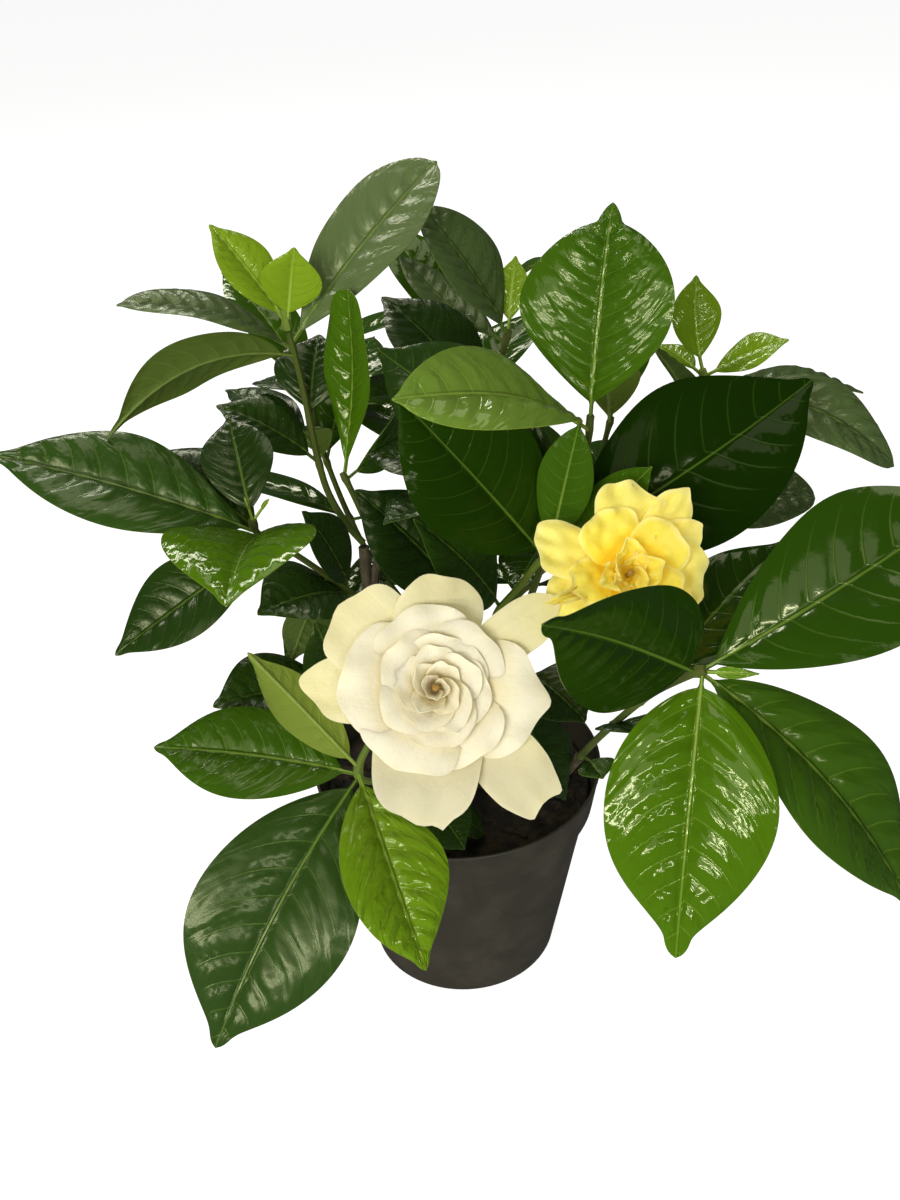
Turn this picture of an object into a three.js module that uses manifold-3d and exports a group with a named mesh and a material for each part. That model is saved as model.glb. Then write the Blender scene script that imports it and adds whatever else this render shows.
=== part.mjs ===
// Potted gardenia: a young evergreen shrub in a round nursery pot, with one white double bloom that is
// fully open and one older bloom that has turned yellow. Millimetres, +Z up, the front towards -Y.
// The origin is the middle of the pot's underside, on the surface that the pot stands on.
import * as THREE from 'three';
import { mergeVertices } from 'three/addons/utils/BufferGeometryUtils.js';
import Module from 'manifold-3d';

const wasm = await Module();
wasm.setup();

// Driving dimensions of the pot and its soil
const pot = {
  height: 96, rimRadius: 60, rimDepth: 18, bandStep: 2.2, baseRadius: 40, wall: 1.5, floor: 2,
  footHeight: 2, footWidth: 4, padRadius: 11, sides: 36, drainRadius: 3.5, drainCircle: 26, drainHoles: 6,
};
const soil = { level: 84, crown: 2.2, lump: 0.9, rings: 3, stemRoom: 1.2 };
const gap = 0.3;                     // between one piece and the next that it rests on
const bladeThickness = 0.7;
const petiole = 5;                   // bare stalk below each leaf blade
const stemSides = 5;
const stemStep = 13;                 // length of one straight stretch of a stem
const rooting = 36;                  // how deep the woody stems stand in the soil

// Woody stems: the first line is the stem out of the soil, the others are the spurs that branch from it.
// Each spur ends in a flat face, which a green shoot stands on.
const woody = {
  left: { radius: 2.4, spurRadius: 1.6, lines: [
    [[-15, 4, 90], [-18, 4, 112], [-25, 4, 145], [-31, 6, 172], [-32, 8, 196]],
    [[-30.5, 6, 172], [-28, 5, 187], [-26, 4, 197]],
    [[-28.5, 5, 160], [-33, 2, 170], [-36, -1, 178]],
    [[-16.5, 4, 102], [-20, -10, 114], [-24, -21, 124]]] },
  front: { radius: 2.2, spurRadius: 1.6, lines: [
    [[-7.5, -28.5, 88], [-8, -30, 92]]] },
  middle: { radius: 2.4, spurRadius: 1.6, lines: [
    [[9.5, -5, 90], [7, -8, 112], [5, -12, 145], [7, -14, 165]],
    [[5, -11.5, 142], [6.5, -14.5, 151], [9, -18, 160]],
    [[7.3, -7.5, 108], [9.5, -11.5, 115], [12, -16, 122]]] },
  right: { radius: 2.3, spurRadius: 1.6, lines: [
    [[43, -12, 90], [44, -19, 103], [47, -34, 122]]] },
  back_right: { radius: 2.3, spurRadius: 1.7, lines: [
    [[26, 3, 90], [24, 0, 110], [22, -6, 140], [24, -11, 162]],
    [[24.3, 0, 106], [28, 2.5, 114], [33, 5.5, 121]]] },
  back: { radius: 2.4, spurRadius: 1.7, lines: [
    [[-2, 24, 90], [-3, 30, 115], [-1, 44, 150]],
    [[-3, 28.5, 110], [-9, 35, 128], [-16, 40, 142]],
    [[-2.8, 27, 104], [7, 33, 122], [18, 38, 138]]] },
};

// What the numbers of one leaf mean: its place along the shoot from 0 to 1, the compass direction and the
// rise of its midrib, its length and width, its roll about the midrib, how far the midrib bows up and
// sweeps sideways and where the blade is widest in hundredths of the length, the angle that its halves
// fold up by, and its twist from base to tip.
const leafTerms = ['at', 'heading', 'rise', 'long', 'wide', 'roll', 'bow', 'sweep', 'belly', 'fold', 'twist'];

// Green shoots: the line of the stem from its spur to its tip, and the leaves by pairs up the stem
const shoots = {
  shoot_left_tall: {
    line: [[-32, 9, 197], [-38, 12, 204], [-44, 15, 216], [-47, 18, 229], [-49, 22, 243], [-51, 26, 258],
      [-54, 29, 275]],
    leaves: [
      [0.42, 170, 31, 43, 28, 15, 8, 0, 52, 10, 0],
      [0.52, 135, 7, 52, 20, 0, 6, 0, 52, 10, 0],
      [0.60, 81, 42, 36, 30, 0, 8, 0, 52, 10, 0],
      [0.72, 130, -8, 33, 16, 0, 6, 0, 52, 10, 0],
      [0.93, 200, 24, 65, 28, 6, 8, 0, 52, 10, 0],
      [0.90, 207, -11, 75, 26, -65, 4, 17, 52, 10, 0],
      [0.95, 23, 43, 83, 37, -25, 4, 0, 58, 10, 0]] },
  shoot_left_curled: {
    line: [[-26, 4, 198], [-30, 7, 207], [-34, 11, 216], [-38, 14, 225]],
    leaves: [
      [0.95, 45, 82, 70, 24, 0, -5, 0, 58, 15, 0],
      [0.90, 50, 28, 40, 28, -110, 8, 0, 52, 10, 0]] },
  shoot_left_low: {
    line: [[-36, -1, 179], [-48, -8, 196], [-59, -14, 210], [-67, -19, 219], [-68, -21, 226]],
    leaves: [
      [0.04, 232, 20, 52, 34, 20, 8, 0, 52, 10, 0],
      [0.06, 179, 68, 39, 26, 20, 6, 0, 52, 10, 0],
      [0.28, 244, -31, 36, 24, 165, -4, 0, 52, 10, 0],
      [0.76, 202, -26, 69, 33, 25, 2, 0, 52, 10, 0],
      [0.82, 146, 19, 60, 32, 10, 8, 0, 52, 10, 0],
      [0.84, 268, 13, 72, 52, 0, 8, 0, 52, 16, 0],
      [0.90, 175, 19, 95, 40, 25, 4, 0, 52, 12, 0],
      [0.97, 105, 35, 44, 26, 10, 6, 0, 52, 10, 0],
      [0.98, 189, 80, 10, 3, 0, 0, 0, 52, 10, 0],
      [0.98, 25, 47, 10, 3, 0, 0, 0, 52, 10, 0]] },
  shoot_left_inner: {
    line: [[-24, -22, 125], [-36, -36, 149], [-40, -44, 167]],
    leaves: [
      [0.90, 207, 76, 37, 22, 95, 6, 0, 52, 10, 0],
      [0.98, 205, 13, 49, 36, 10, 8, 0, 52, 10, 0]] },
  shoot_centre: {
    line: [[7, -14, 166], [11, -10, 181], [10, -5, 196], [9, 0, 218], [13, 15, 235], [21, 34, 251],
      [27, 47, 265]],
    leaves: [
      [0.08, 162, 47, 66, 40, 25, 6, 0, 52, 10, 0],
      [0.42, 216, 11, 39, 28, -10, 8, 0, 52, 10, 0],
      [0.50, 168, 12, 40, 26, 10, 8, 0, 52, 10, 0],
      [0.72, 142, 38, 59, 36, 10, 8, 0, 52, 10, 0],
      [0.96, 143, 28, 57, 22, 0, -6, 0, 52, 10, 0],
      [0.98, 162, 55, 59, 35, 15, 6, 0, 54, 10, 0],
      [0.99, 73, 60, 29, 13, 0, 2, 0, 52, 10, 0]] },
  shoot_yellow_bloom: {
    line: [[9, -18, 161], [15, -26, 178], [17, -28, 187], [25, -36, 203], [33.5, -41, 217], [44, -48, 219.5],
      [57, -61.2, 219.6]],
    leaves: [
      [0.33, 201, 55, 54, 38, 45, 6, 0, 52, 10, 0],
      [0.67, 180, 53, 77, 46, 62, 5, 0, 52, 8, 0],
      [0.69, 342, 79, 51, 19, -85, 2, 0, 56, 10, 0],
      [0.70, 18, 26, 107, 56, -42, 6, -3, 52, 8, 0],
      [0.71, 349, 48, 47, 18, -60, -6, 0, 52, 10, 0]] },
  shoot_centre_tall: {
    line: [[24, -12, 163], [33, -22, 200], [41, -30, 233], [47, -36, 254], [48, -39, 268]],
    leaves: [
      [0.74, 147, 24, 84, 40, 60, 8, 0, 52, 8, 0],
      [0.95, 212, 23, 79, 34, 25, 10, 0, 54, 12, 60],
      [0.99, 69, 69, 67, 50, 0, 5, 0, 56, 10, 0]] },
  shoot_right_front: {
    line: [[47, -34.3, 122.4], [52, -62, 156], [62, -88, 191], [71, -106, 212], [75, -110, 217]],
    leaves: [
      [0.04, 295, -3, 15, 16, 0, 6, 0, 52, 10, 0],
      [0.44, 287, 27, 18, 22, 0, 6, 0, 52, 10, 0],
      [0.66, 33, 31, 74, 30, -20, 8, 0, 52, 10, 0],
      [0.97, 221, 36.6, 82, 43, 103, -6, 0, 36, 3, 0],
      [0.98, 8, 32, 95, 49, -30, 4, -3, 56, 8, 0],
      [0.98, 341, -48, 106, 41, -25, 6, 3, 52, 10, 0],
      [0.99, 255, -61, 88, 51, 0, 8, 0, 44, 8, 0],
      [0.98, 334, 12, 16, 4, 0, 0, 0, 52, 10, 0]] },
  shoot_right_back: {
    line: [[34, 6, 122], [48, 11, 140], [68, 15, 170], [84, 17, 205], [94, 19, 235], [97, 20, 250]],
    leaves: [
      [0.66, 347, 7, 57, 34, -25, 6, 0, 52, 10, 0],
      [0.90, 216, 55, 51, 22, 10, 6, 0, 52, 10, 0],
      [0.95, 17, -6, 71, 26, 0, 8, 0, 52, 10, 0],
      [0.97, 339, -15, 73, 27, -25, 20, 0, 52, 10, 0]] },
  shoot_white_bloom: {
    line: [[-8, -30, 92.5], [-12, -48, 118], [-22, -70, 144], [-33, -86, 161], [-30, -84, 172],
      [-18, -75, 183], [-6.2, -80.2, 192.6]],
    leaves: [
      [0.06, 355, -35, 23, 18, 0, 6, 0, 52, 10, 0],
      [0.30, 323, -44, 27, 22, 0, 6, 0, 52, 10, 0],
      [0.67, 228, -41, 99, 54, 32, 8, -3, 52, 8, 0],
      [0.68, 174, 8, 69, 34, 25, 6, 0, 52, 8, 0],
      [0.69, 293, -41, 68, 37, 10, 8, -4, 52, 10, 0],
      [0.70, 182, 58, 58, 17, -115, 6, 0, 44, 12, 0]] },
  shoot_under_bloom: {
    line: [[12, -16, 123], [17, -26, 138], [21, -36, 156], [24, -44, 173]],
    leaves: [
      [0.50, 333, -58, 46, 30, 0, 8, 0, 52, 10, 0],
      [0.80, 273, 9, 39, 16, 0, 8, 0, 52, 10, 0],
      [0.85, 341, -9, 30, 26, 0, 10, 0, 52, 10, 0],
      [0.98, 316, -17, 31, 32, 0, 8, 0, 52, 10, 0]] },
};

// Soft new tips: the bright young leaves and buds at the end of a shoot
const youngTips = {
  young_tip_left: {
    line: [[-54.1, 29.1, 276], [-54.6, 29.3, 280], [-55, 29.5, 284]],
    leaves: [
      [0.30, 160, 53, 43, 20, 30, 4, 0, 52, 12, 0],
      [0.20, 320, 75, 31, 22, -130, -4, 0, 52, 10, 0],
      [0.90, 126, 75, 17, 5, 0, 0, 0, 52, 10, 0],
      [0.90, 27, 86, 19, 3, 0, 0, 0, 52, 10, 0]] },
  young_tip_right: {
    line: [[97, 20, 251], [96.5, 20, 254], [96, 20, 257]],
    leaves: [
      [0.90, 100, 69, 34, 19, 0, 4, 6, 52, 10, 0],
      [0.50, 344, 29, 33, 18, -20, 2, 0, 52, 10, 0],
      [0.50, 124, 12, 25, 12, 0, 4, 0, 52, 10, 0]] },
};

// Shoots on the far side: opposite pairs, each pair turned a quarter from the one below it
const backShoots = {
  shoot_back_left: {
    line: [[-16.5, 40.5, 143], [-36, 56, 170], [-50, 72, 205], [-54, 80, 232]], first: 60, seed: 74 },
  shoot_back_middle: { line: [[-1, 44.5, 151], [2, 62, 180], [6, 80, 214], [8, 90, 245]], first: 40, seed: 82 },
  shoot_back_right: {
    line: [[18.5, 38.5, 139], [42, 50, 160], [61, 61, 190], [70, 67, 218]], first: 160, seed: 9 },
};
const pairPlaces = [0.2, 0.45, 0.7, 0.97];
const pairRises = [-8, 8, 24, 44];
const pairTurn = 90;
const tipPairShorter = 8;

const shootRadius = 1.4;
const leafColour = 0x2f5a26;
const youngColour = 0x79a63a;
const woodColour = 0x6b5a42;

// What the numbers of one petal mean: its direction as the bloom is looked at from the front, its length
// and width, the angle that it leaves the middle at and the angle that its tip ends at, how far from the
// bloom's axis it starts, how much it cups across and wraps round the axis, how far it raises one edge over
// the next petal, how far its tip swings sideways in hundredths of its length, and how pointed it is.
const petalTerms = ['turn', 'long', 'wide', 'lift', 'tipLift', 'start', 'cup', 'wrap', 'lean', 'swing', 'tip'];

const blooms = {
  white_bloom: {
    seat: [-6, -86, 197], axis: [0.02, -0.8, 0.6], shoot: 'shoot_white_bloom', colour: 0xf4efdc, seed: 143,
    centreColour: 0xb8913a,
    outer: [
      [136, 33, 31, 26, -8, 6.2, 0.06, 0, 1.6, 0, 0.5],
      [86, 29, 28, 26, -2, 6.2, 0.06, 0, 1.6, -6, 0.6],
      [33, 41, 17, 28, -2, 6.2, 0.12, 0, 1.6, 0, 0.75],
      [-49, 42, 22, 25, -10, 6.2, 0.04, 0, 1.6, -6, 0.5],
      [-102, 36, 35, 26, -6, 6.2, 0.06, 0, 1.6, 0, 0.5],
      [180, 34, 22, 25, -6, 6.2, 0.08, 0, 1.6, -6, 0.6],
      [168, 27, 36, 56, 0, 5.4, 0.03, 0.1, 1.1, 0, 0.5],
      [100, 23, 32, 58, 4, 5.4, 0.03, 0.1, 1.1, 0, 0.5],
      [42, 21, 26, 60, 6, 5.4, 0.03, 0.1, 1.1, 0, 0.5],
      [-13, 29, 38, 44, -4, 5.4, 0.04, 0, 1.1, 0, 0.75],
      [-66, 23, 30, 56, 2, 5.4, 0.03, 0.1, 1.1, 0, 0.5],
      [-120, 25, 33, 56, 0, 5.4, 0.03, 0.1, 1.1, 0, 0.5]],
    rings: [
      { petals: 5, first: 60, long: 18, wide: 25, lift: 72, tipLift: 12, start: 4.7, cup: 0.02, wrap: 0.3,
        lean: 1, swing: 0, tip: 0.5 },
      { petals: 5, first: 20, long: 16, wide: 19, lift: 78, tipLift: 28, start: 3.9, cup: 0, wrap: 0.7,
        lean: 0.9, swing: 0, tip: 0.5 }],
  },
  yellow_bloom: {
    seat: [57, -67, 224], axis: [0, -0.8, 0.6], shoot: 'shoot_yellow_bloom', colour: 0xf2d95a, seed: 156,
    centreColour: 0xa8862e,
    outer: [
      [84, 25, 25, 28, 2, 6, 0.06, 0, 1.5, 6, 0.8],
      [52, 27, 14, 26, -4, 6, 0.06, 0, 1.5, 0, 0.9],
      [31, 22, 14, 28, 0, 6, 0.06, 0, 1.5, 0, 0.9],
      [2, 18, 24, 28, 4, 6, 0.04, 0, 1.5, 0, 0.55],
      [-48, 16, 24, 28, 2, 6, 0.04, 0, 1.5, 0, 0.6],
      [-100, 16, 24, 28, 2, 6, 0.04, 0, 1.5, 0, 0.6],
      [-157, 21, 22, 30, 0, 6, 0.04, 0, 1.5, 0, 0.55],
      [157, 25, 18, 28, 0, 6, 0.04, 0, 1.5, 0, 0.6],
      [114, 19.5, 20, 60, 6, 4.8, 0.04, 0, 1, 0, 0.5],
      [38, 18.5, 20, 62, 10, 4.8, 0.04, 0, 1, 0, 0.5],
      [-34, 16, 18, 64, 12, 4.8, 0.04, 0.1, 1, 0, 0.5],
      [-105, 15, 18, 64, 14, 4.8, 0.04, 0.1, 1, 0, 0.5],
      [187, 18, 15, 60, 14, 4.8, 0.04, 0, 1, 0, 0.6]],
    rings: [
      { petals: 4, first: 10, long: 14, wide: 13, lift: 78, tipLift: 46, start: 3.2, cup: 0, wrap: 0.7,
        lean: 0.8, swing: 0, tip: 0.55 }],
  },
};
const receptacle = { neck: 3.6, rim: 7.8, rise: 2, height: 3.6 };
const petalRoot = 1.7;               // level of the petals' roots above the seat
const leanRamp = 0.25;               // part of a petal's length over which its lean grows to full
const petalPeak = 0.66;              // how far out along a petal it is widest
const petalFoot = 0.07;              // how far its outline has opened where it leaves the middle
const petalOpening = 0.85;           // how fast its outline opens
const squareEnd = 4.6;               // how square the end of a petal without a point would be
const leastHalf = 0.7;               // half the width that the end of a petal keeps
const uprightFrom = 50;              // lift from which a petal stands up in the middle of the bloom
const petalStations = [0, 0.3, 0.62, 0.9, 1];
const uprightStations = [0, 0.45, 0.85, 1];
const centreColumn = { foot: 0.9, head: 1.5, height: 9, sides: 8 };
const calyx = { neck: 1.4, mouth: 3.8, length: 9, sides: 8, sepals: 5, sepalLong: 9, sepalWide: 2.4, sepalFall: -12 };

const rad = THREE.MathUtils.degToRad;
const point = ([x, y, z]) => new THREE.Vector3(x, y, z);
const named = (terms, row) => Object.fromEntries(terms.map((term, i) => [term, row[i]]));

// A closed solid from a closed geometry, and back again
function solidOf(geometry) {
  const bare = geometry.clone();
  bare.deleteAttribute('normal');
  bare.deleteAttribute('uv');
  const merged = mergeVertices(bare, 1e-4);
  return new wasm.Manifold(new wasm.Mesh({
    numProp: 3,
    vertProperties: new Float32Array(merged.attributes.position.array),
    triVerts: new Uint32Array(merged.index.array),
  }));
}

function geometryOf(solid) {
  const { vertProperties, triVerts } = solid.getMesh();
  const geometry = new THREE.BufferGeometry();
  geometry.setAttribute('position', new THREE.BufferAttribute(vertProperties, 3));
  geometry.setIndex(new THREE.BufferAttribute(triVerts, 1));
  return geometry;
}

// Joins solids into one body: a hollow that the join seals is filled, and a loose scrap is dropped
function fuse(solids) {
  const joined = solids.reduce((whole, piece) => whole.add(piece));
  return joined.decompose().sort((a, b) => b.volume() - a.volume())[0];
}

function pieceMesh(name, solid, colour, roughness) {
  const mesh = new THREE.Mesh(geometryOf(solid), new THREE.MeshStandardMaterial({
    color: colour, roughness, metalness: 0, flatShading: true }));
  mesh.name = name;
  return mesh;
}

// A thin closed blade round a middle surface: surface(t, v) gives its points from base to tip and from
// edge to edge, and both faces are split into the same triangles, mirrored about the middle.
function bladeSolid(surface, stations, columns, thickness = bladeThickness) {
  const rows = stations.length;
  const across = columns.length;
  const middle = stations.map((t) => columns.map((v) => surface(t, v)));
  const clampRow = (i) => Math.min(Math.max(i, 0), rows - 1);
  const clampColumn = (j) => Math.min(Math.max(j, 0), across - 1);
  const centre = (across - 1) / 2;
  const faceVertex = (i, j, side) => {
    const along = middle[clampRow(i + 1)][j].clone().sub(middle[clampRow(i - 1)][j]);
    const sideways = middle[i][clampColumn(j + 1)].clone().sub(middle[i][clampColumn(j - 1)]);
    const normal = along.cross(sideways).normalize();
    return middle[i][j].clone().addScaledVector(normal, side * thickness / 2);
  };
  const positions = [];
  for (const side of [1, -1]) {
    for (let i = 0; i < rows; i++) {
      for (let j = 0; j < across; j++) positions.push(...faceVertex(i, j, side).toArray());
    }
  }
  const upper = (i, j) => i * across + j;
  const lower = (i, j) => rows * across + i * across + j;
  const faces = [];
  for (let i = 0; i < rows - 1; i++) {
    for (let j = 0; j < across - 1; j++) {
      const corners = [[i, j], [i, j + 1], [i + 1, j + 1], [i + 1, j]];
      const split = j < centre ? [[0, 1, 2], [0, 2, 3]] : [[0, 1, 3], [1, 2, 3]];
      for (const triangle of split) {
        const [a, b, c] = triangle.map((k) => corners[k]);
        faces.push(upper(...a), upper(...b), upper(...c));
        faces.push(lower(...a), lower(...c), lower(...b));
      }
    }
  }
  const rim = [];
  for (let j = 0; j < across; j++) rim.push([0, j]);
  for (let i = 1; i < rows; i++) rim.push([i, across - 1]);
  for (let j = across - 2; j >= 0; j--) rim.push([rows - 1, j]);
  for (let i = rows - 2; i > 0; i--) rim.push([i, 0]);
  rim.forEach((here, k) => {
    const next = rim[(k + 1) % rim.length];
    faces.push(upper(...here), lower(...next), upper(...next));
    faces.push(upper(...here), lower(...here), lower(...next));
  });
  const geometry = new THREE.BufferGeometry();
  geometry.setAttribute('position', new THREE.Float32BufferAttribute(positions, 3));
  geometry.setIndex(faces);
  const solid = solidOf(geometry);
  return solid.volume() > 0 ? solid : solidOf(turnedOut(geometry));
}

// The same geometry with every triangle turned round
function turnedOut(geometry) {
  const turned = geometry.clone();
  const order = Array.from(turned.index.array);
  for (let k = 0; k < order.length; k += 3) [order[k], order[k + 1]] = [order[k + 1], order[k]];
  turned.setIndex(order);
  return turned;
}

// The middle surface of a leaf: a bowed midrib with the two halves folded up from it
function leafSurface(base, leaf) {
  const [heading, rise, roll] = [leaf.heading, leaf.rise, leaf.roll].map(rad);
  const chord = new THREE.Vector3(
    Math.cos(rise) * Math.cos(heading), Math.cos(rise) * Math.sin(heading), Math.sin(rise));
  const flatNormal = new THREE.Vector3(
    -Math.sin(rise) * Math.cos(heading), -Math.sin(rise) * Math.sin(heading), Math.cos(rise));
  const flatSide = flatNormal.clone().cross(chord);
  const normal = flatNormal.clone().multiplyScalar(Math.cos(roll)).addScaledVector(flatSide, Math.sin(roll));
  const side = flatSide.clone().multiplyScalar(Math.cos(roll)).addScaledVector(flatNormal, -Math.sin(roll));
  const [bow, sweep, belly] = [leaf.bow, leaf.sweep, leaf.belly].map((hundredths) => hundredths / 100);
  const midrib = (t) => base.clone()
    .addScaledVector(chord, leaf.long * t)
    .addScaledVector(normal, leaf.long * bow * Math.sin(Math.PI * t))
    .addScaledVector(side, leaf.long * sweep * 4 * t * (1 - t));
  const stalk = petiole / leaf.long;
  const bellyPower = Math.log(0.5) / Math.log(belly);
  const tipSharpness = 1 - 2 * (belly - 0.52);
  const halfWidth = (t) => {
    const u = Math.max(0, (t - stalk) / (1 - stalk));
    const fullness = 0.75 + (tipSharpness - 0.75) * u * u;
    const outline = Math.pow(Math.max(Math.sin(Math.PI * Math.pow(u, bellyPower)), 1e-9), fullness);
    return Math.max(0.6, 0.5 * leaf.wide * outline);
  };
  return (t, v) => {
    const step = 1e-3;
    const tangent = midrib(Math.min(t + step, 1)).sub(midrib(Math.max(t - step, 0))).normalize();
    const up = normal.clone().addScaledVector(tangent, -normal.dot(tangent)).normalize();
    const out = up.clone().cross(tangent);
    const twist = rad(leaf.twist) * (t - 0.5);
    const turnedSide = out.clone().multiplyScalar(Math.cos(twist)).addScaledVector(up, -Math.sin(twist));
    const turnedUp = up.clone().multiplyScalar(Math.cos(twist)).addScaledVector(out, Math.sin(twist));
    const width = halfWidth(t);
    return midrib(t)
      .addScaledVector(turnedSide, width * v * Math.cos(rad(leaf.fold)))
      .addScaledVector(turnedUp, width * Math.abs(v) * Math.sin(rad(leaf.fold)));
  };
}

const leafStations = [0, 0.1, 0.3, 0.54, 0.8, 1];
const plainLeafStations = [0, 0.12, 0.4, 0.75, 1];
const plainLeaf = 40;                // leaves shorter than this, and those at the far side, have fewer folds

function leafSolid(base, leaf, plain) {
  const stations = plain || leaf.long < plainLeaf ? plainLeafStations : leafStations;
  return bladeSolid(leafSurface(base, leaf), stations, [-1, 0, 1]);
}

function stemCurve(line) {
  return new THREE.CatmullRomCurve3(line.map(point), false, 'catmullrom', 0.5);
}

const stemSteps = (curve) => Math.max(1, Math.round(curve.getLength() / stemStep));

// A point on the axis of a stem, which runs straight from one step to the next
function stemPoint(curve, at) {
  const steps = stemSteps(curve);
  const step = Math.min(Math.floor(at * steps), steps - 1);
  return curve.getPointAt(step / steps).lerp(curve.getPointAt((step + 1) / steps), at * steps - step);
}

// A round stem along a curve
function stemSolid(curve, radius) {
  const outline = new THREE.Shape();
  for (let k = 0; k < stemSides; k++) {
    const angle = 2 * Math.PI * k / stemSides;
    const [x, y] = [radius * Math.cos(angle), radius * Math.sin(angle)];
    if (k === 0) outline.moveTo(x, y);
    else outline.lineTo(x, y);
  }
  outline.closePath();
  return solidOf(new THREE.ExtrudeGeometry(outline, {
    steps: stemSteps(curve), bevelEnabled: false, extrudePath: curve }));
}

function woodyStem(name, { radius, spurRadius, lines }) {
  const [x, y] = lines[0][0];
  const root = [x, y, soil.level - rooting];
  const solids = lines.map((line, k) => stemSolid(stemCurve(k === 0 ? [root, ...line] : line),
    k === 0 ? radius : spurRadius));
  return pieceMesh(name, fuse(solids), woodColour, 0.85);
}

// Turns what is made along +Z so that it stands at a place and points along an axis
function standing(geometry, place, axis) {
  const turn = new THREE.Quaternion().setFromUnitVectors(new THREE.Vector3(0, 0, 1), axis);
  return geometry.applyQuaternion(turn).translate(place.x, place.y, place.z);
}

// A turned form about +Z from [radius, height] pairs that start and end on the axis
function turned(profile, sides) {
  const outline = profile.map(([radius, height]) => new THREE.Vector2(radius, height));
  return new THREE.LatheGeometry(outline, sides).rotateX(Math.PI / 2);
}

// The green cup under a bloom, with its ring of narrow sepals
function calyxSolids(bloom) {
  const axis = point(bloom.axis).normalize();
  const mouth = point(bloom.seat).addScaledVector(axis, -gap);
  const foot = mouth.clone().addScaledVector(axis, -calyx.length);
  const cup = turned([[0, 0], [calyx.neck, 0], [calyx.mouth, calyx.length * 0.8], [calyx.mouth, calyx.length],
    [0, calyx.length]], calyx.sides);
  const frame = bloomFrame(bloom);
  const sepals = Array.from({ length: calyx.sepals }, (_, k) => {
    const angle = 2 * Math.PI * k / calyx.sepals;
    const along = frame.right.clone().multiplyScalar(Math.cos(angle)).addScaledVector(frame.up, Math.sin(angle));
    const across = frame.out.clone().cross(along);
    const root = mouth.clone().addScaledVector(axis, -bladeThickness).addScaledVector(along, calyx.mouth * 0.6);
    const fall = Math.sin(rad(calyx.sepalFall));
    return bladeSolid((t, v) => root.clone().addScaledVector(along, calyx.sepalLong * t)
      .addScaledVector(axis, calyx.sepalLong * fall * t * t)
      .addScaledVector(across, v * calyx.sepalWide * (0.6 - 0.3 * t)), [0, 0.5, 1], [-1, 1]);
  });
  return [solidOf(standing(cup, foot, axis)), ...sepals];
}

function bloomOf(shootName) {
  return Object.values(blooms).find((bloom) => bloom.shoot === shootName);
}

// A leafy shoot: its green stem, its leaves and, under a bloom, the calyx, grown together as one body
function leafyShoot(name, { line, leaves }, colour = leafColour, plain = false) {
  const curve = stemCurve(line);
  const solids = [stemSolid(curve, shootRadius)];
  const bloom = bloomOf(name);
  if (bloom) {
    solids.push(...calyxSolids(bloom));
  }
  for (const row of leaves) {
    const leaf = named(leafTerms, row);
    solids.push(leafSolid(stemPoint(curve, leaf.at), leaf, plain));
  }
  return pieceMesh(name, fuse(solids), colour, 0.35);
}

// A repeatable draw between two limits
function drawFrom(seed) {
  let state = seed;
  return (low, high) => {
    state = (state * 1664525 + 1013904223) % 4294967296;
    return low + (high - low) * state / 4294967296;
  };
}

function pairedLeaves({ first, seed }) {
  const draw = drawFrom(seed);
  return pairPlaces.flatMap((at, pair) => [0, 180].map((opposite) => {
    const heading = first + pairTurn * pair + opposite + draw(-18, 18);
    const rise = pairRises[pair] + draw(-8, 8);
    const long = draw(62, 84) - (pair === pairPlaces.length - 1 ? tipPairShorter : 0);
    const wide = long * draw(0.42, 0.5);
    return [at, heading, rise, long, wide, draw(-12, 12), draw(6, 14), 0, 52, 10, 0];
  }));
}

// The axes of a bloom as it is looked at from the front: right, up, and out towards the eye
function bloomFrame(bloom) {
  const out = point(bloom.axis).normalize();
  const right = new THREE.Vector3(0, 0, 1).cross(out).normalize();
  return { seat: point(bloom.seat), out, right, up: out.clone().cross(right) };
}

// The middle surface of a petal: it leaves the middle steeply, bends outwards, and cups or wraps
function petalSurface({ seat, out, right, up }, petal) {
  const [lift, tipLift] = [rad(petal.lift), rad(petal.tipLift)];
  const bend = tipLift - lift;
  const reach = (t) => petal.start + petal.long * (Math.sin(lift + bend * t) - Math.sin(lift)) / bend;
  const height = (t) => petalRoot + petal.long * (Math.cos(lift) - Math.cos(lift + bend * t)) / bend;
  const halfWidth = (t) => {
    const open = Math.min(1, (petalFoot + (1 - petalFoot) * t) / petalPeak);
    const past = Math.max(0, (t - petalPeak) / (1 - petalPeak));
    const opening = Math.sin(0.5 * Math.PI * open) ** petalOpening;
    const closing = (1 - past ** (squareEnd - 3 * petal.tip)) ** Math.max(0.5, petal.tip * 0.8);
    return Math.max(leastHalf, 0.5 * petal.wide * opening * closing);
  };
  return (t, v) => {
    const slope = lift + bend * t;
    const across = v * halfWidth(t);
    const raised = petal.cup * v * v * halfWidth(t) + petal.lean * v * Math.min(1, t / leanRamp);
    const radius = reach(t) - raised * Math.sin(slope);
    const level = height(t) + raised * Math.cos(slope);
    const angle = rad(petal.turn) + petal.wrap * across / Math.max(radius, 3);
    const aside = (1 - petal.wrap) * across + petal.swing / 100 * petal.long * t * t;
    return seat.clone()
      .addScaledVector(right, radius * Math.cos(angle) - aside * Math.sin(angle))
      .addScaledVector(up, radius * Math.sin(angle) + aside * Math.cos(angle))
      .addScaledVector(out, level);
  };
}

// One petal of a ring, a little out of its even place and size
function unevenPetal(ring, turn, draw) {
  return {
    ...ring,
    turn: turn + draw(-11, 11),
    long: ring.long * draw(0.93, 1.07),
    wide: ring.wide * draw(0.88, 1.12),
    lift: ring.lift + draw(-3, 3),
    tipLift: ring.tipLift + draw(-6, 6),
  };
}

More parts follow.
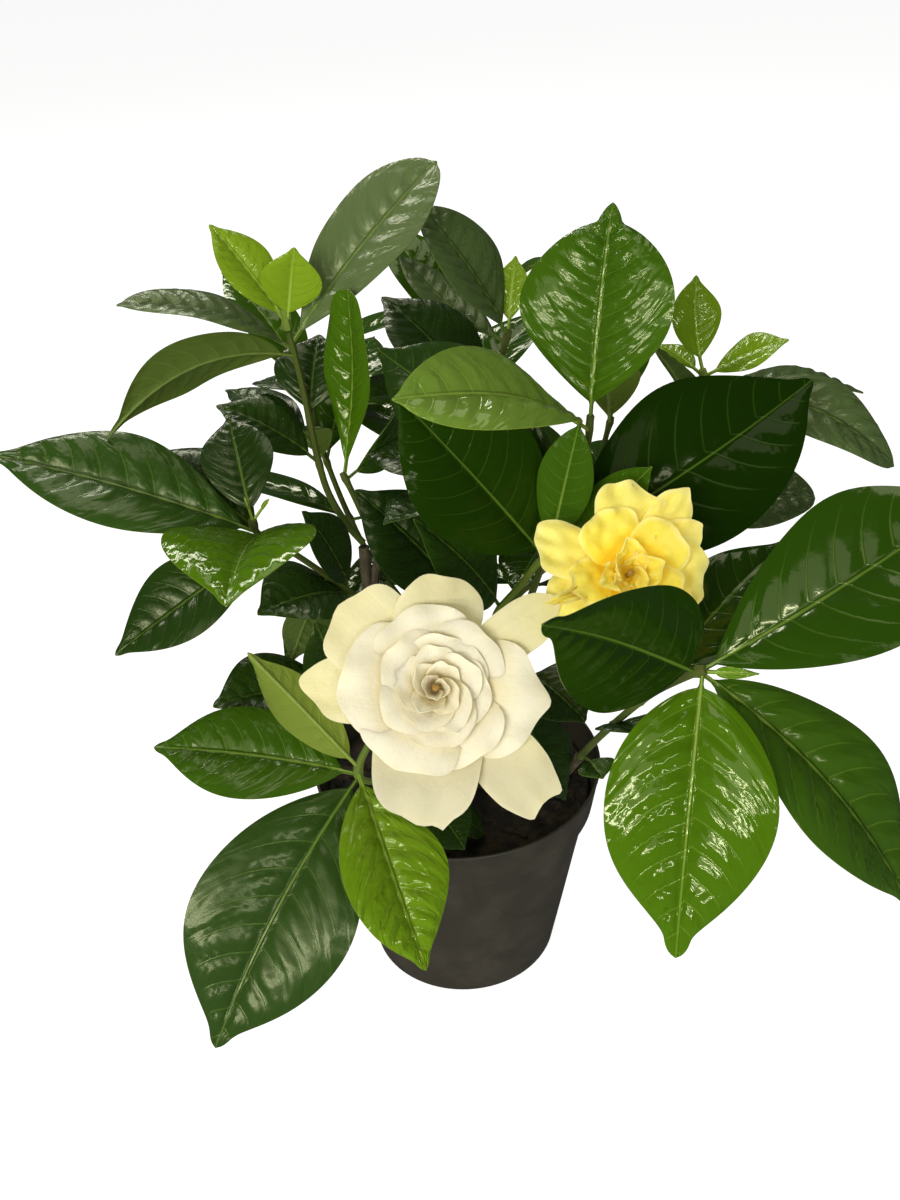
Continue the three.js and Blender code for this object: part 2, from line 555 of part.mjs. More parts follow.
function bloomPieces(name, bloom) {
  const frame = bloomFrame(bloom);
  const petals = bloom.outer.map((row) => named(petalTerms, row));
  const draw = drawFrom(bloom.seed);
  for (const ring of bloom.rings) {
    for (let k = 0; k < ring.petals; k++) petals.push(unevenPetal(ring, ring.first + 360 * k / ring.petals, draw));
  }
  const solids = petals.map((petal) => bladeSolid(petalSurface(frame, petal),
    petal.lift > uprightFrom ? uprightStations : petalStations, [-1, 0, 1]));
  const disc = turned([[0, 0], [receptacle.neck, 0], [receptacle.rim, receptacle.rise],
    [receptacle.rim, receptacle.height], [0, receptacle.height]], calyx.sides);
  solids.push(solidOf(standing(disc, frame.seat, frame.out)));
  const column = turned([[0, 0], [centreColumn.foot, 0], [centreColumn.foot, centreColumn.height * 0.7],
    [centreColumn.head, centreColumn.height * 0.85], [0, centreColumn.height]], centreColumn.sides);
  const columnFoot = frame.seat.clone().addScaledVector(frame.out, receptacle.height + gap);
  return [
    pieceMesh(`${name}_petals`, fuse(solids), bloom.colour, 0.6),
    pieceMesh(`${name}_centre`, solidOf(standing(column, columnFoot, frame.out)), bloom.centreColour, 0.7),
  ];
}

function wallRadius(z) {
  const bandBottom = pot.height - pot.rimDepth;
  const slope = (pot.rimRadius - pot.bandStep - pot.baseRadius) / pot.height;
  return pot.baseRadius + slope * z + (z > bandBottom ? pot.bandStep : 0);
}

// The pot: a thin tapered wall with a deeper rim band, a raised floor with drain holes, a foot ring
// and a flat middle pad
function potPiece() {
  const bandBottom = pot.height - pot.rimDepth;
  const under = pot.footHeight;
  const inside = under + pot.floor;
  const inner = (z) => wallRadius(z) - pot.wall;
  const profile = [
    [0, 0], [pot.padRadius, 0], [pot.padRadius, under], [pot.baseRadius - pot.footWidth, under],
    [pot.baseRadius - pot.footWidth, 0], [pot.baseRadius, 0],
    [wallRadius(bandBottom), bandBottom], [wallRadius(bandBottom) + pot.bandStep, bandBottom + 0.5],
    [pot.rimRadius, pot.height], [pot.rimRadius - pot.wall, pot.height],
    [inner(bandBottom) + pot.bandStep, bandBottom + 1.5], [inner(bandBottom), bandBottom - 0.5],
    [inner(inside), inside], [0, inside],
  ];
  let body = solidOf(turned(profile, pot.sides));
  for (let k = 0; k < pot.drainHoles; k++) {
    const angle = 2 * Math.PI * k / pot.drainHoles;
    const drill = new THREE.CylinderGeometry(pot.drainRadius, pot.drainRadius, pot.floor * 3, 12)
      .rotateX(Math.PI / 2)
      .translate(pot.drainCircle * Math.cos(angle), pot.drainCircle * Math.sin(angle), under + pot.floor / 2);
    body = body.subtract(solidOf(drill));
  }
  return pieceMesh('pot', body, 0x3f3f42, 0.6);
}

// The soil: it fills the pot to below its rim, with a low lumpy crown, and the stems stand in holes in it
function soilPiece() {
  const floorTop = pot.footHeight + pot.floor + gap;
  const bandBottom = pot.height - pot.rimDepth;
  const fit = (z) => wallRadius(z) - pot.wall - gap;
  const edge = fit(bandBottom) + pot.bandStep * 0.9;
  const top = Array.from({ length: soil.rings }, (_, k) => [edge * (1 - k / soil.rings), soil.level]);
  const profile = [[0, floorTop], [fit(floorTop), floorTop], [fit(bandBottom), bandBottom + 0.5],
    [edge, bandBottom + 3], ...top, [0, soil.level]];
  const filling = turned(profile, pot.sides);
  const places = filling.attributes.position;
  for (let k = 0; k < places.count; k++) {
    const [x, y, z] = [places.getX(k), places.getY(k), places.getZ(k)];
    if (z < soil.level - 0.1) continue;
    const inward = 1 - Math.hypot(x, y) / edge;
    const lumps = Math.sin(x * 0.31 + y * 0.17) * Math.cos(y * 0.37 - x * 0.11);
    places.setZ(k, z + soil.crown * Math.sqrt(Math.max(0, inward)) + soil.lump * lumps);
  }
  let body = solidOf(filling);
  for (const { radius, lines } of Object.values(woody)) {
    const [x, y] = lines[0][0];
    const depth = rooting + gap;
    const drill = new THREE.CylinderGeometry(radius + soil.stemRoom, radius + soil.stemRoom, depth * 2, 12)
      .rotateX(Math.PI / 2).translate(x, y, soil.level);
    body = body.subtract(solidOf(drill));
  }
  return pieceMesh('soil', fuse([body]), 0x2a211b, 0.95);
}

const plant = new THREE.Group();
plant.add(potPiece(), soilPiece());
for (const [name, stem] of Object.entries(woody)) plant.add(woodyStem(`woody_stem_${name}`, stem));
for (const [name, shoot] of Object.entries(shoots)) plant.add(leafyShoot(name, shoot));
for (const [name, tip] of Object.entries(youngTips)) plant.add(leafyShoot(name, tip, youngColour));
for (const [name, shoot] of Object.entries(backShoots)) {
  plant.add(leafyShoot(name, { line: shoot.line, leaves: pairedLeaves(shoot) }, leafColour, true));
}
for (const [name, bloom] of Object.entries(blooms)) plant.add(...bloomPieces(name, bloom));

export default plant;
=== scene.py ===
# Potted gardenia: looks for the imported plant. Blender 4.5, metres.
import math

import bpy
import numpy as np
from mathutils import Matrix, Vector, noise


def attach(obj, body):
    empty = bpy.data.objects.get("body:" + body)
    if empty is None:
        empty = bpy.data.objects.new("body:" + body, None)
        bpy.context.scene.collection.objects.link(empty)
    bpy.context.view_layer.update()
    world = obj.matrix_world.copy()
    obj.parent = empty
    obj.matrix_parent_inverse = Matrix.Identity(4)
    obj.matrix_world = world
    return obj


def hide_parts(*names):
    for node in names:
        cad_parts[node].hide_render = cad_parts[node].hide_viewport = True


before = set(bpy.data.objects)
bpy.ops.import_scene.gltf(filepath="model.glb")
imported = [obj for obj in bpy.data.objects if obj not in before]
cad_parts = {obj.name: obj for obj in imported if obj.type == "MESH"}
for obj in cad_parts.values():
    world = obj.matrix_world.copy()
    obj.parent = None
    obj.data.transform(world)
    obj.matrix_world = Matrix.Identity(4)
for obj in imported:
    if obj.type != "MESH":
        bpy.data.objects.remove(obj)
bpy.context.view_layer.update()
mm = 0.001


# shader sums

class Wire:  # a socket that can be used in sums
    def __init__(self, finish, socket):
        self.finish, self.socket = finish, socket

    def sum(self, operation, *values):
        return self.finish.node("ShaderNodeMath", {"operation": operation}, dict(enumerate(values)))

    def __add__(self, other): return self.sum("ADD", self, other)
    def __radd__(self, other): return self.sum("ADD", other, self)
    def __sub__(self, other): return self.sum("SUBTRACT", self, other)
    def __rsub__(self, other): return self.sum("SUBTRACT", other, self)
    def __mul__(self, other): return self.sum("MULTIPLY", self, other)
    def __rmul__(self, other): return self.sum("MULTIPLY", other, self)
    def __abs__(self): return self.sum("ABSOLUTE", self)

    def step(self, low, high):  # 0 below low, 1 above high, smooth between
        return self.finish.node("ShaderNodeMapRange", {"interpolation_type": "SMOOTHSTEP"},
                                {"Value": self, "From Min": low, "From Max": high})

    def part(self, axis):  # one number of a vector
        return self.finish.node("ShaderNodeSeparateXYZ", {}, {0: self}, axis)


class Finish:  # one material
    def __init__(self, name, **fixed):
        self.material = bpy.data.materials.new(name)
        self.material.use_nodes = True
        self.tree = self.material.node_tree
        self.tree.nodes.clear()
        self.shader = self.tree.nodes.new("ShaderNodeBsdfPrincipled")
        output = self.tree.nodes.new("ShaderNodeOutputMaterial")
        self.tree.links.new(self.shader.outputs[0], output.inputs[0])
        self.set(**fixed)

    def node(self, kind, settings, sockets, out=0):
        made = self.tree.nodes.new(kind)
        for key, value in settings.items():
            if key == "stops":
                ramp = made.color_ramp
                while len(ramp.elements) < len(value):
                    ramp.elements.new(0.5)
                for element, (place, colour) in zip(ramp.elements, value):
                    element.position = place
                    element.color = (*colour, 1)
            else:
                setattr(made, key, value)
        for key, value in sockets.items():
            self.plug(made.inputs[key], value)
        return Wire(self, made.outputs[out])

    def plug(self, target, value):
        if isinstance(value, Wire):
            self.tree.links.new(value.socket, target)
        elif target.type == "RGBA" and len(value) == 3:
            target.default_value = (*value, 1)
        else:
            target.default_value = value

    def attribute(self, name):
        return self.node("ShaderNodeAttribute", {"attribute_name": name}, {}, "Vector")

    def place(self):
        return self.node("ShaderNodeTexCoord", {}, {}, "Object")

    def vector(self, *parts):
        return self.node("ShaderNodeCombineXYZ", {}, dict(enumerate(parts)))

    def mix(self, share, low, high):  # colours
        return self.node("ShaderNodeMix", {"data_type": "RGBA", "clamp_factor": True},
                         {"Factor": share, 6: low, 7: high}, 2)

    def noise(self, scale, detail=3, rough=0.55, place=None, warp=0):
        return self.node("ShaderNodeTexNoise", {}, {
            "Vector": place or self.place(), "Scale": scale, "Detail": detail, "Roughness": rough,
            "Distortion": warp})

    def bump(self, height, depth, strength=1.0):
        self.set(Normal=self.node("ShaderNodeBump", {}, {
            "Height": height, "Distance": depth, "Strength": strength}))

    def set(self, **values):
        for name, value in values.items():
            self.plug(self.shader.inputs[name.replace("_", " ")], value)
        return self.material


# modelling helpers

def selectOnly(*objects):
    if bpy.context.object and bpy.context.object.mode != "OBJECT":
        bpy.ops.object.mode_set(mode="OBJECT")
    bpy.ops.object.select_all(action="DESELECT")
    for item in objects:
        item.select_set(True)
    bpy.context.view_layer.objects.active = objects[0]


def newObject(name, data):
    made = bpy.data.objects.new(name, data)
    bpy.context.scene.collection.objects.link(made)
    return made


def smooth(piece, degrees):
    selectOnly(piece)
    bpy.ops.object.shade_smooth_by_angle(angle=math.radians(degrees))
    return piece


def joined(name, objects):
    selectOnly(*objects)
    if len(objects) > 1:
        bpy.ops.object.join()
    piece = bpy.context.object
    piece.name = name
    piece.data.name = name
    return piece


def coordsOf(mesh):
    flat = np.empty(len(mesh.vertices) * 3)
    mesh.vertices.foreach_get("co", flat)
    return flat.reshape(-1, 3)


def setCoords(mesh, coords):
    mesh.vertices.foreach_set("co", coords.ravel())
    mesh.update()


def note(piece, **layers):  # three numbers for each vertex, for the materials to read
    for layer, parts in layers.items():
        values = np.stack([np.ones(len(piece.data.vertices)) * part for part in parts], 1)
        made = piece.data.attributes.new(layer, "FLOAT_VECTOR", "POINT")
        made.data.foreach_set("vector", values.astype(np.float32).ravel())
    return piece


def dress(piece, node, material):
    piece.data.materials.append(material)
    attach(piece, "root")
    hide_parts(node)


def editAll():
    bpy.ops.object.editmode_toggle()
    bpy.ops.mesh.select_all(action="SELECT")


def endEdit():
    bpy.ops.mesh.normals_make_consistent()
    bpy.ops.object.editmode_toggle()


def slab(name, columns, rows):  # a block of cells, two wide, two long and one thick
    selectOnly(anchor)
    bpy.ops.mesh.primitive_grid_add(x_subdivisions=columns, y_subdivisions=rows, size=2,
                                    location=(0, 0, 0.5))
    editAll()
    bpy.ops.mesh.extrude_region_move(TRANSFORM_OT_translate={"value": (0, 0, -1)})
    bpy.ops.mesh.select_all(action="SELECT")
    endEdit()
    piece = bpy.context.object
    piece.name = name
    bpy.ops.object.transform_apply()
    return smooth(piece, 60)


def turnedForm(name, build):  # its profile is rings of (radius, height) in mm, closed at both ends
    selectOnly(anchor)
    radius, height = build["profile"][0]
    bpy.ops.mesh.primitive_circle_add(vertices=build["sides"], radius=radius * mm,
                                      location=(0, 0, height * mm), fill_type="NGON")
    bpy.ops.object.transform_apply()
    piece = bpy.context.object
    editAll()
    bpy.ops.mesh.select_mode(type="EDGE")
    bpy.ops.mesh.region_to_loop()
    for nextRadius, nextHeight in build["profile"][1:]:
        bpy.ops.mesh.extrude_edges_move(
            TRANSFORM_OT_translate={"value": (0, 0, (nextHeight - height) * mm)})
        size = nextRadius / radius
        bpy.ops.transform.resize(value=(size, size, 1), center_override=(0, 0, nextHeight * mm))
        radius, height = nextRadius, nextHeight
    bpy.ops.mesh.edge_face_add()
    bpy.ops.mesh.select_all(action="SELECT")
    bpy.ops.mesh.remove_doubles(threshold=1e-7)
    endEdit()
    piece.name = name
    return piece


def unit(vectors):
    return vectors / np.linalg.norm(vectors, axis=1)[:, None]


def named(row, terms, plain):  # a row: its terms in turn, and where needed what isn't plain
    return {**plain, **dict(zip(terms, row)), **dict(*row[len(terms):])}


def drawFrom(seed):  # the repeatable draw that the solids use
    def draw(low, high):
        nonlocal seed
        seed = (seed * 1664525 + 1013904223) % 4294967296
        return low + (high - low) * seed / 4294967296
    return draw


class StemLine:  # a smooth curve through points, walked by its length
    def __init__(self, line):
        points = [np.array(p, float) for p in line]
        knots = [2 * points[0] - points[1], *points, 2 * points[-1] - points[-2]]
        samples = []
        for k in range(len(points) - 1):
            a, b, c, d = knots[k:k + 4]
            u = np.linspace(0, 1, 41)[:, None]
            first, last = 0.5 * (c - a), 0.5 * (d - b)
            samples.append((2 * b - 2 * c + first + last) * u ** 3
                           + (3 * c - 3 * b - 2 * first - last) * u ** 2 + first * u + b)
        self.points = np.vstack(samples)
        steps = np.linalg.norm(np.diff(self.points, axis=0), axis=1)
        self.walked = np.concatenate([[0], np.cumsum(steps)])
        self.length = self.walked[-1]

    def at(self, share):
        place = np.atleast_1d(share) * self.length
        return np.stack([np.interp(place, self.walked, self.points[:, k]) for k in range(3)], -1)


anchor = list(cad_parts.values())[0]
print("frame loaded")


# camera, light and floor

view = {"place": (0, -0.422, 0.446), "down": 32.7, "roll": -2.7, "lens": 39, "sensor": 36}

camera = newObject("camera", bpy.data.cameras.new("camera"))
camera.data.lens = view["lens"]
camera.data.sensor_width = view["sensor"]
camera.matrix_world = (Matrix.Translation(view["place"])
                       @ Matrix.Rotation(math.radians(90 - view["down"]), 4, "X")
                       @ Matrix.Rotation(math.radians(view["roll"]), 4, "Z"))
bpy.context.scene.camera = camera

studio = {"aim": (0, -0.02, 0.2), "worldLight": 0.05, "floorSize": 30, "floorDrop": 0.0004,
          "floorGlow": 0.92}
lamps = {  # place, size, power, colour
    "softBox": [(-0.7, -1.35, 1.3), (1.3, 1.1), 6, (1, 0.95, 0.82)],
    "stripLow": [(-0.95, -1.7, 0.66), (1.1, 0.09), 12, (1, 0.96, 0.84)],
    "stripMiddle": [(-0.7, -1.65, 1.0), (1.1, 0.09), 11, (1, 0.96, 0.84)],
    "stripRight": [(0.55, -1.75, 0.95), (0.8, 0.09), 6, (1, 0.97, 0.88)],
    "ceilingStrip": [(-0.35, 0.95, 1.2), (1.2, 0.16), 10, (1, 0.97, 0.9)],
    "ceilingSoft": [(0.1, 0.3, 1.7), (0.9, 0.9), 6, (1, 0.96, 0.86)],
}
for name, (place, size, power, colour) in lamps.items():
    light = bpy.data.lights.new(name, "AREA")
    light.shape = "RECTANGLE"
    light.energy, light.color = power, colour
    light.size, light.size_y = size
    lamp = newObject(name, light)
    lamp.location = place
    lamp.rotation_euler = (Vector(studio["aim"]) - lamp.location).to_track_quat("-Z", "Y").to_euler()

world = bpy.data.worlds.new("studio")
bpy.context.scene.world = world
world.use_nodes = True
glow = world.node_tree.nodes["Background"].inputs
glow[0].default_value, glow[1].default_value = (1, 1, 1, 1), studio["worldLight"]
bpy.context.scene.view_settings.view_transform = "Standard"

selectOnly(anchor)
bpy.ops.mesh.primitive_plane_add(size=studio["floorSize"], location=(0, 0, -studio["floorDrop"]))
floor = bpy.context.object
floor.name = "floor"
floor.visible_glossy = False  # leaves that face down stay dark
bpy.ops.object.transform_apply()
floorFinish = Finish("paleFloor", Roughness=0.9, Emission_Strength=studio["floorGlow"])
floor.data.materials.append(floorFinish.set(Base_Color=(0.3, 0.3, 0.3), Emission_Color=(1, 1, 1)))
print("camera, light and floor set")


# leaf finishes

leafTones = {
    "upper": [(0.0, (0.007, 0.024, 0.001)), (0.35, (0.03, 0.085, 0.003)),   # by age, 1 is young
              (0.7, (0.085, 0.19, 0.003)), (1.0, (0.2, 0.33, 0.014))],
    "vein": [(0.06, 0.13, 0.012), (0.27, 0.44, 0.04)],                       # here and below: old, young
    "rib": [(0.1, 0.18, 0.02), (0.36, 0.52, 0.08)],
    "under": [(0.04, 0.08, 0.012), (0.23, 0.31, 0.03)],
    "stem": [(0.022, 0.04, 0.006), (0.16, 0.26, 0.03)],
    "bark": [(0.055, 0.04, 0.014), (0.16, 0.19, 0.04)],
    "underRib": (0.26, 0.36, 0.08), "underVein": (0.16, 0.26, 0.05),
    "cool": (0.034, 0.072, 0.018), "grey": (0.15, 0.2, 0.085),
}


def leafFinish(name, gloss):
    f = Finish(name, Specular_IOR_Level=gloss, Specular_Tint=(0.95, 1, 0.68))
    place = f.attribute("bladePlace")      # across -1 to 1, along 0 to 1, vein count
    look = f.attribute("bladeLook")        # age, chance, 0 upper face 1 underside 2 stem
    rib = f.attribute("ribPlace")          # mm from the midrib, painted sheen share, relief
    across, along, veins = abs(place.part(0)), place.part(1), place.part(2)
    age, chance, side = look.part(0), look.part(1), look.part(2)
    fromRib, grey, relief = abs(rib.part(0)), rib.part(1), rib.part(2)
    under, stem = side.step(0.4, 0.6), side.step(1.4, 1.6)
    fromVein = abs(veins - veins.sum("ROUND", veins))
    ribLine = 1 - fromRib.step(0.15, 0.35 + 0.4 * (1 - along))             # thinner towards the tip
    veinLine = (1 - fromVein.step(0.01, 0.05)) * (1 - across.step(0.55, 0.95))

    tone = age + (f.noise(22, 2, 0.5) - 0.5) * 0.12 + (chance - 0.5) * 0.06
    upper = f.node("ShaderNodeValToRGB", {"stops": leafTones["upper"]}, {"Fac": tone})
    # painted sheen: old leaves with strong relief take a cool grey-blue tone that stands for the soft
    # sheen on their surface
    cool = relief.step(0.7, 1.3) * (0.4 + 0.6 * chance) * (1 - age.step(0.25, 0.5)) * 0.7
    upper = f.mix(cool, upper, leafTones["cool"])
    # painted sheen: each leaf's share mixes in a pale grey-green that stands for the reflection on its
    # surface
    upper = f.mix(grey, upper, leafTones["grey"])
    upper = f.mix(veinLine * (0.22 + age * 0.2), upper, f.mix(age, *leafTones["vein"]))
    upper = f.mix(ribLine * (1 - along * 0.6) * 0.85, upper, f.mix(age, *leafTones["rib"]))
    lower = f.mix(age, *leafTones["under"])
    lower = f.mix((1 - fromRib.step(0.25, 0.8)) * (0.3 + age * 0.5), lower, leafTones["underRib"])
    lower = f.mix(veinLine * 0.25, lower, leafTones["underVein"])
    green, brown = f.mix(age, *leafTones["stem"]), f.mix(age, *leafTones["bark"])
    bark = f.mix(f.noise(260, 4, 0.7).step(0.4, 0.75), green, brown)
    colour = f.mix(stem, f.mix(under, upper, lower), bark)

    worn = (1 - age.step(0.3, 0.55)) * relief.step(0.65, 1.0)              # old leaves shine less
    rough = 0.07 + f.noise(90, 4, 0.6) * 0.09 + worn * 0.16 + under * 0.35 + stem * 0.3
    fine, dimples = f.noise(1500, 2, 0.5), f.noise(170, 2, 0.45)
    cells = f.node("ShaderNodeTexVoronoi", {"feature": "DISTANCE_TO_EDGE"},
                   {"Vector": f.place(), "Scale": 420})
    net = cells.step(0.0, 0.15) * (1 - under)
    wrinkles = f.noise(1.0, 1.5, 0.45, f.vector(veins * 1.2, place.part(0) * 2.0, chance * 50), 0.8)
    puckers = (dimples * (0.1 + relief * 0.25) + wrinkles * (relief * 2.2 - 0.7)) * fromRib.step(0.2, 0.9)
    f.bump(fine * 0.01 + net * 0.012 + puckers + (1 - veinLine) * 0.18, 0.0006, 0.6)
    return f.set(Base_Color=colour, Roughness=rough)


leafLook = leafFinish("glossyLeaf", 0.42)
dullLook = leafFinish("dullLeaf", 0.1)


# leaves and shoots

leafBuild = {"columns": 16, "rows": 60, "ribGather": 1.25, "endGather": 0.05, "thick": 0.55, "stalk": 5,
             "ribWide": 0.9, "ribHigh": 1.1, "veinPairs": 9.5, "quilt": 0.03, "crown": 0.13, "wave": 0.02,
             "waves": 1.7}
leafTerms = ["at", "heading", "rise", "long", "wide", "roll", "bow", "age"]  # at: share of the shoot
plainLeaf = {"sweep": 0, "belly": 52, "fold": 10, "twist": 0, "relief": 1, "grey": 0, "drip": 0.045}

# each leaf: its leafTerms in turn, then what is unlike plainLeaf; bow, sweep and belly in hundredths of
# its length, angles in degrees, all else in mm or shares, and age 1 is young
shoots = {
    "shoot_left_tall": {
        "line": [[-32, 9, 197], [-38, 12, 204], [-44, 15, 216], [-47, 18, 229], [-49, 22, 243],
                 [-51, 26, 258], [-54, 29, 275]],
        "leaves": [
            [0.42, 170, 31, 43, 28, 15, 8, 0.1],
            [0.52, 135, 7, 52, 20, 0, 6, 0.05],
            [0.6, 81, 42, 36, 30, 0, 8, 0],
            [0.72, 130, -8, 33, 16, 0, 6, 0],
            [0.93, 200, 24, 65, 28, 6, 8, 0.2, dict(relief=1.4, sharp=0.6, grey=0.5)],
            [0.9, 207, -11, 73.5, 26, -65, 4, 0.2, dict(sweep=17, sharp=0.9, drip=0.12)],
            [0.95, 23, 43, 83, 37, -25, 4, 0.3,
             dict(belly=58, relief=1.7, sharp=0.5, grey=0.6, drip=0.02)]]},
    "shoot_left_curled": {
        "line": [[-26, 4, 198], [-30, 7, 207], [-34, 11, 216], [-38, 14, 225]],
        "leaves": [
            [0.95, 45, 82, 70, 24, 0, -5, 0.5, dict(belly=58, fold=15, relief=1.5, sharp=0.3, drip=0.01)],
            [0.9, 50, 28, 40, 28, -110, 8, 0.3]]},
    "shoot_left_low": {
        "line": [[-36, -1, 179], [-48, -8, 196], [-59, -14, 210], [-67, -19, 219], [-68, -21, 226]],
        "leaves": [
            [0.04, 232, 20, 52, 34, 20, 8, 0.1],
            [0.06, 179, 68, 39, 26, 20, 6, 0],
            [0.28, 244, -31, 36, 24, 165, -4, 0.1],
            [0.76, 202, -26, 69, 33, 25, 2, 0.1],
            [0.82, 146, 19, 60, 32, 10, 8, 0.1],
            [0.84, 268, 13, 72, 52, 0, 8, 0.6, dict(fold=16)],
            [0.9, 175, 19, 95, 40, 25, 4, 0.28, dict(fold=12, relief=1.6)],
            [0.97, 105, 35, 44, 26, 10, 6, 0.05],
            [0.98, 189, 80, 10, 3, 0, 0, 1],
            [0.98, 25, 47, 10, 3, 0, 0, 1]]},
    "shoot_left_inner": {
        "line": [[-24, -22, 125], [-36, -36, 149], [-40, -44, 167]],
        "leaves": [
            [0.9, 207, 76, 37, 22, 95, 6, 0.1],
            [0.98, 205, 13, 49, 36, 10, 8, 0.1]]},
    "shoot_centre": {
        "line": [[7, -14, 166], [11, -10, 181], [10, -5, 196], [9, 0, 218], [13, 15, 235], [21, 34, 251],
                 [27, 47, 265]],
        "leaves": [
            [0.08, 162, 47, 66, 40, 25, 6, 0],
            [0.42, 216, 11, 39, 28, -10, 8, 0],
            [0.5, 168, 12, 40, 26, 10, 8, 0],
            [0.72, 142, 38, 59, 36, 10, 8, 0],
            [0.96, 143, 28, 57, 22, 0, -6, 0.2, dict(relief=1.2, sharp=0.9, grey=0.4)],
            [0.98, 162, 55, 59, 35, 15, 6, 0.25, dict(belly=54, relief=1.4, sharp=0.75, grey=0.3)],
            [0.99, 73, 60, 29, 13, 0, 2, 0.9]]},
    "shoot_yellow_bloom": {
        "green": 0.6,
        "line": [[9, -18, 161], [15, -26, 178], [17, -28, 187], [25, -36, 203], [33.5, -41, 217],
                 [44, -48, 219.5], [57, -61.2, 219.6]],
        "leaves": [
            [0.33, 201, 55, 54, 38, 45, 6, 0.1],
            [0.67, 180, 53, 77, 46, 62, 5, 0.03, dict(fold=8, relief=0.6, sharp=0.75)],
            [0.69, 342, 79, 51, 19, -85, 2, 0.4, dict(belly=56, sharp=0.6)],
            [0.7, 18, 26, 107, 56, -42, 6, -0.05, dict(sweep=-3, fold=8, relief=0.5, sharp=0.9)],
            [0.71, 349, 48, 47, 18, -60, -6, 0.42, dict(sharp=0.7)]]},
    "shoot_centre_tall": {
        "line": [[24, -12, 163], [33, -22, 200], [41, -30, 233], [47, -36, 254], [48, -39, 268]],
        "leaves": [
            [0.74, 147, 24, 84, 40, 60, 8, 0.05, dict(fold=8)],
            [0.95, 212, 23, 79, 34, 25, 10, 0.8,
             dict(belly=54, fold=12, twist=60, relief=1.4, sharp=0.6, grey=0.3)],
            [0.99, 69, 69, 67, 50, 0, 5, 0.45,
             dict(belly=56, relief=1.8, sharp=0.5, drip=0.16, dripHalf=5)]]},
    "shoot_right_front": {
        "line": [[47, -34.3, 122.4], [52, -62, 156], [62, -88, 191], [71, -106, 212], [75, -110, 217]],
        "leaves": [
            [0.04, 295, -3, 15, 16, 0, 6, 0.3],
            [0.44, 287, 27, 18, 22, 0, 6, 0.1],
            [0.66, 33, 31, 74, 30, -20, 8, 0.05, dict(relief=0.7)],
            [0.97, 221, 36.6, 82, 43, 103, -6, 0, dict(belly=36, fold=3, relief=0.5)],
            [0.98, 8, 32, 95, 49, -30, 4, 0.2, dict(sweep=-3, belly=56, fold=8, relief=0.6)],
            [0.98, 341, -48, 106, 41, -25, 6, 0.41, dict(sweep=3, relief=1.6)],
            [0.99, 255, -61, 88, 51, 0, 8, 0.6, dict(belly=44, fold=8, relief=1.9, sharp=1.2)],
            [0.98, 334, 12, 18, 4, -60, 0, 0.75, dict(belly=35, fold=25, sharp=1, drip=0.01)]]},
    "shoot_right_back": {
        "line": [[34, 6, 122], [48, 11, 140], [68, 15, 170], [84, 17, 205], [94, 19, 235], [97, 20, 250]],
        "leaves": [
            [0.66, 347, 7, 57, 34, -25, 6, 0.05,
             dict(relief=1.8, sharp=0.55, grey=0.3, drip=0, dripHalf=0)],
            [0.9, 216, 55, 51, 22, 10, 6, 0.1],
            [0.95, 17, -6, 71, 26, 0, 8, 0.2, dict(relief=1.9, sharp=0.9, grey=0.4)],
            [0.97, 339, -15, 73, 27, -25, 20, 0.25,
             dict(relief=2.1, sharp=0.55, grey=0.4, drip=0.02, dripHalf=2.4)]]},
    "shoot_white_bloom": {
        "green": 0.6,
        "line": [[-8, -30, 92.5], [-12, -48, 118], [-22, -70, 144], [-33, -86, 161], [-30, -84, 172],
                 [-18, -75, 183], [-6.2, -80.2, 192.6]],
        "leaves": [
            [0.06, 355, -35, 23, 18, 0, 6, 0.1],
            [0.3, 323, -44, 27, 22, 0, 6, 0.1],
            [0.67, 228, -41, 99, 54, 32, 8, 0.2, dict(sweep=-3, fold=8, relief=1.3)],
            [0.68, 174, 8, 69, 34, 25, 6, 0.42, dict(fold=8, relief=1.2)],
            [0.69, 293, -41, 68, 37, 10, 8, 0.82, dict(sweep=-4, relief=2.1)],
            [0.7, 182, 58, 58, 17, -115, 6, 0.62, dict(belly=44, fold=12)]]},
    "shoot_under_bloom": {
        "line": [[12, -16, 123], [17, -26, 138], [21, -36, 156], [24, -44, 173]],
        "leaves": [
            [0.5, 333, -58, 46, 30, 0, 8, 0],
            [0.8, 273, 9, 39, 16, 0, 8, 0],
            [0.85, 341, -9, 30, 26, 0, 10, 0],
            [0.98, 316, -17, 31, 32, 0, 8, 0]]},
    "young_tip_left": {
        "green": 1,
        "line": [[-54.1, 29.1, 276], [-54.6, 29.3, 280], [-55, 29.5, 284]],
        "leaves": [
            [0.3, 160, 53, 43, 20, 30, 4, 1, dict(fold=12)],
            [0.2, 320, 75, 31, 22, -130, -4, 1],
            [0.9, 126, 75, 17, 5, 0, 0, 1],
            [0.9, 27, 86, 19, 3, 0, 0, 1]]},
    "young_tip_right": {
        "green": 1,
        "line": [[97, 20, 251], [96.5, 20, 254], [96, 20, 257]],
        "leaves": [
            [0.9, 100, 69, 34, 19, 0, 4, 0.9, dict(sweep=6)],
            [0.5, 344, 29, 33, 18, -20, 2, 0.9],
            [0.5, 124, 12, 25, 12, 0, 4, 0.9]]},
}
backShoots = {
    "shoot_back_left": {
        "line": [[-16.5, 40.5, 143], [-36, 56, 170], [-50, 72, 205], [-54, 80, 232]],
        "first": 60, "seed": 74},
    "shoot_back_middle": {
        "line": [[-1, 44.5, 151], [2, 62, 180], [6, 80, 214], [8, 90, 245]],
        "first": 40, "seed": 82},
    "shoot_back_right": {
        "line": [[18.5, 38.5, 139], [42, 50, 160], [61, 61, 190], [70, 67, 218]],
        "first": 160, "seed": 9},
}
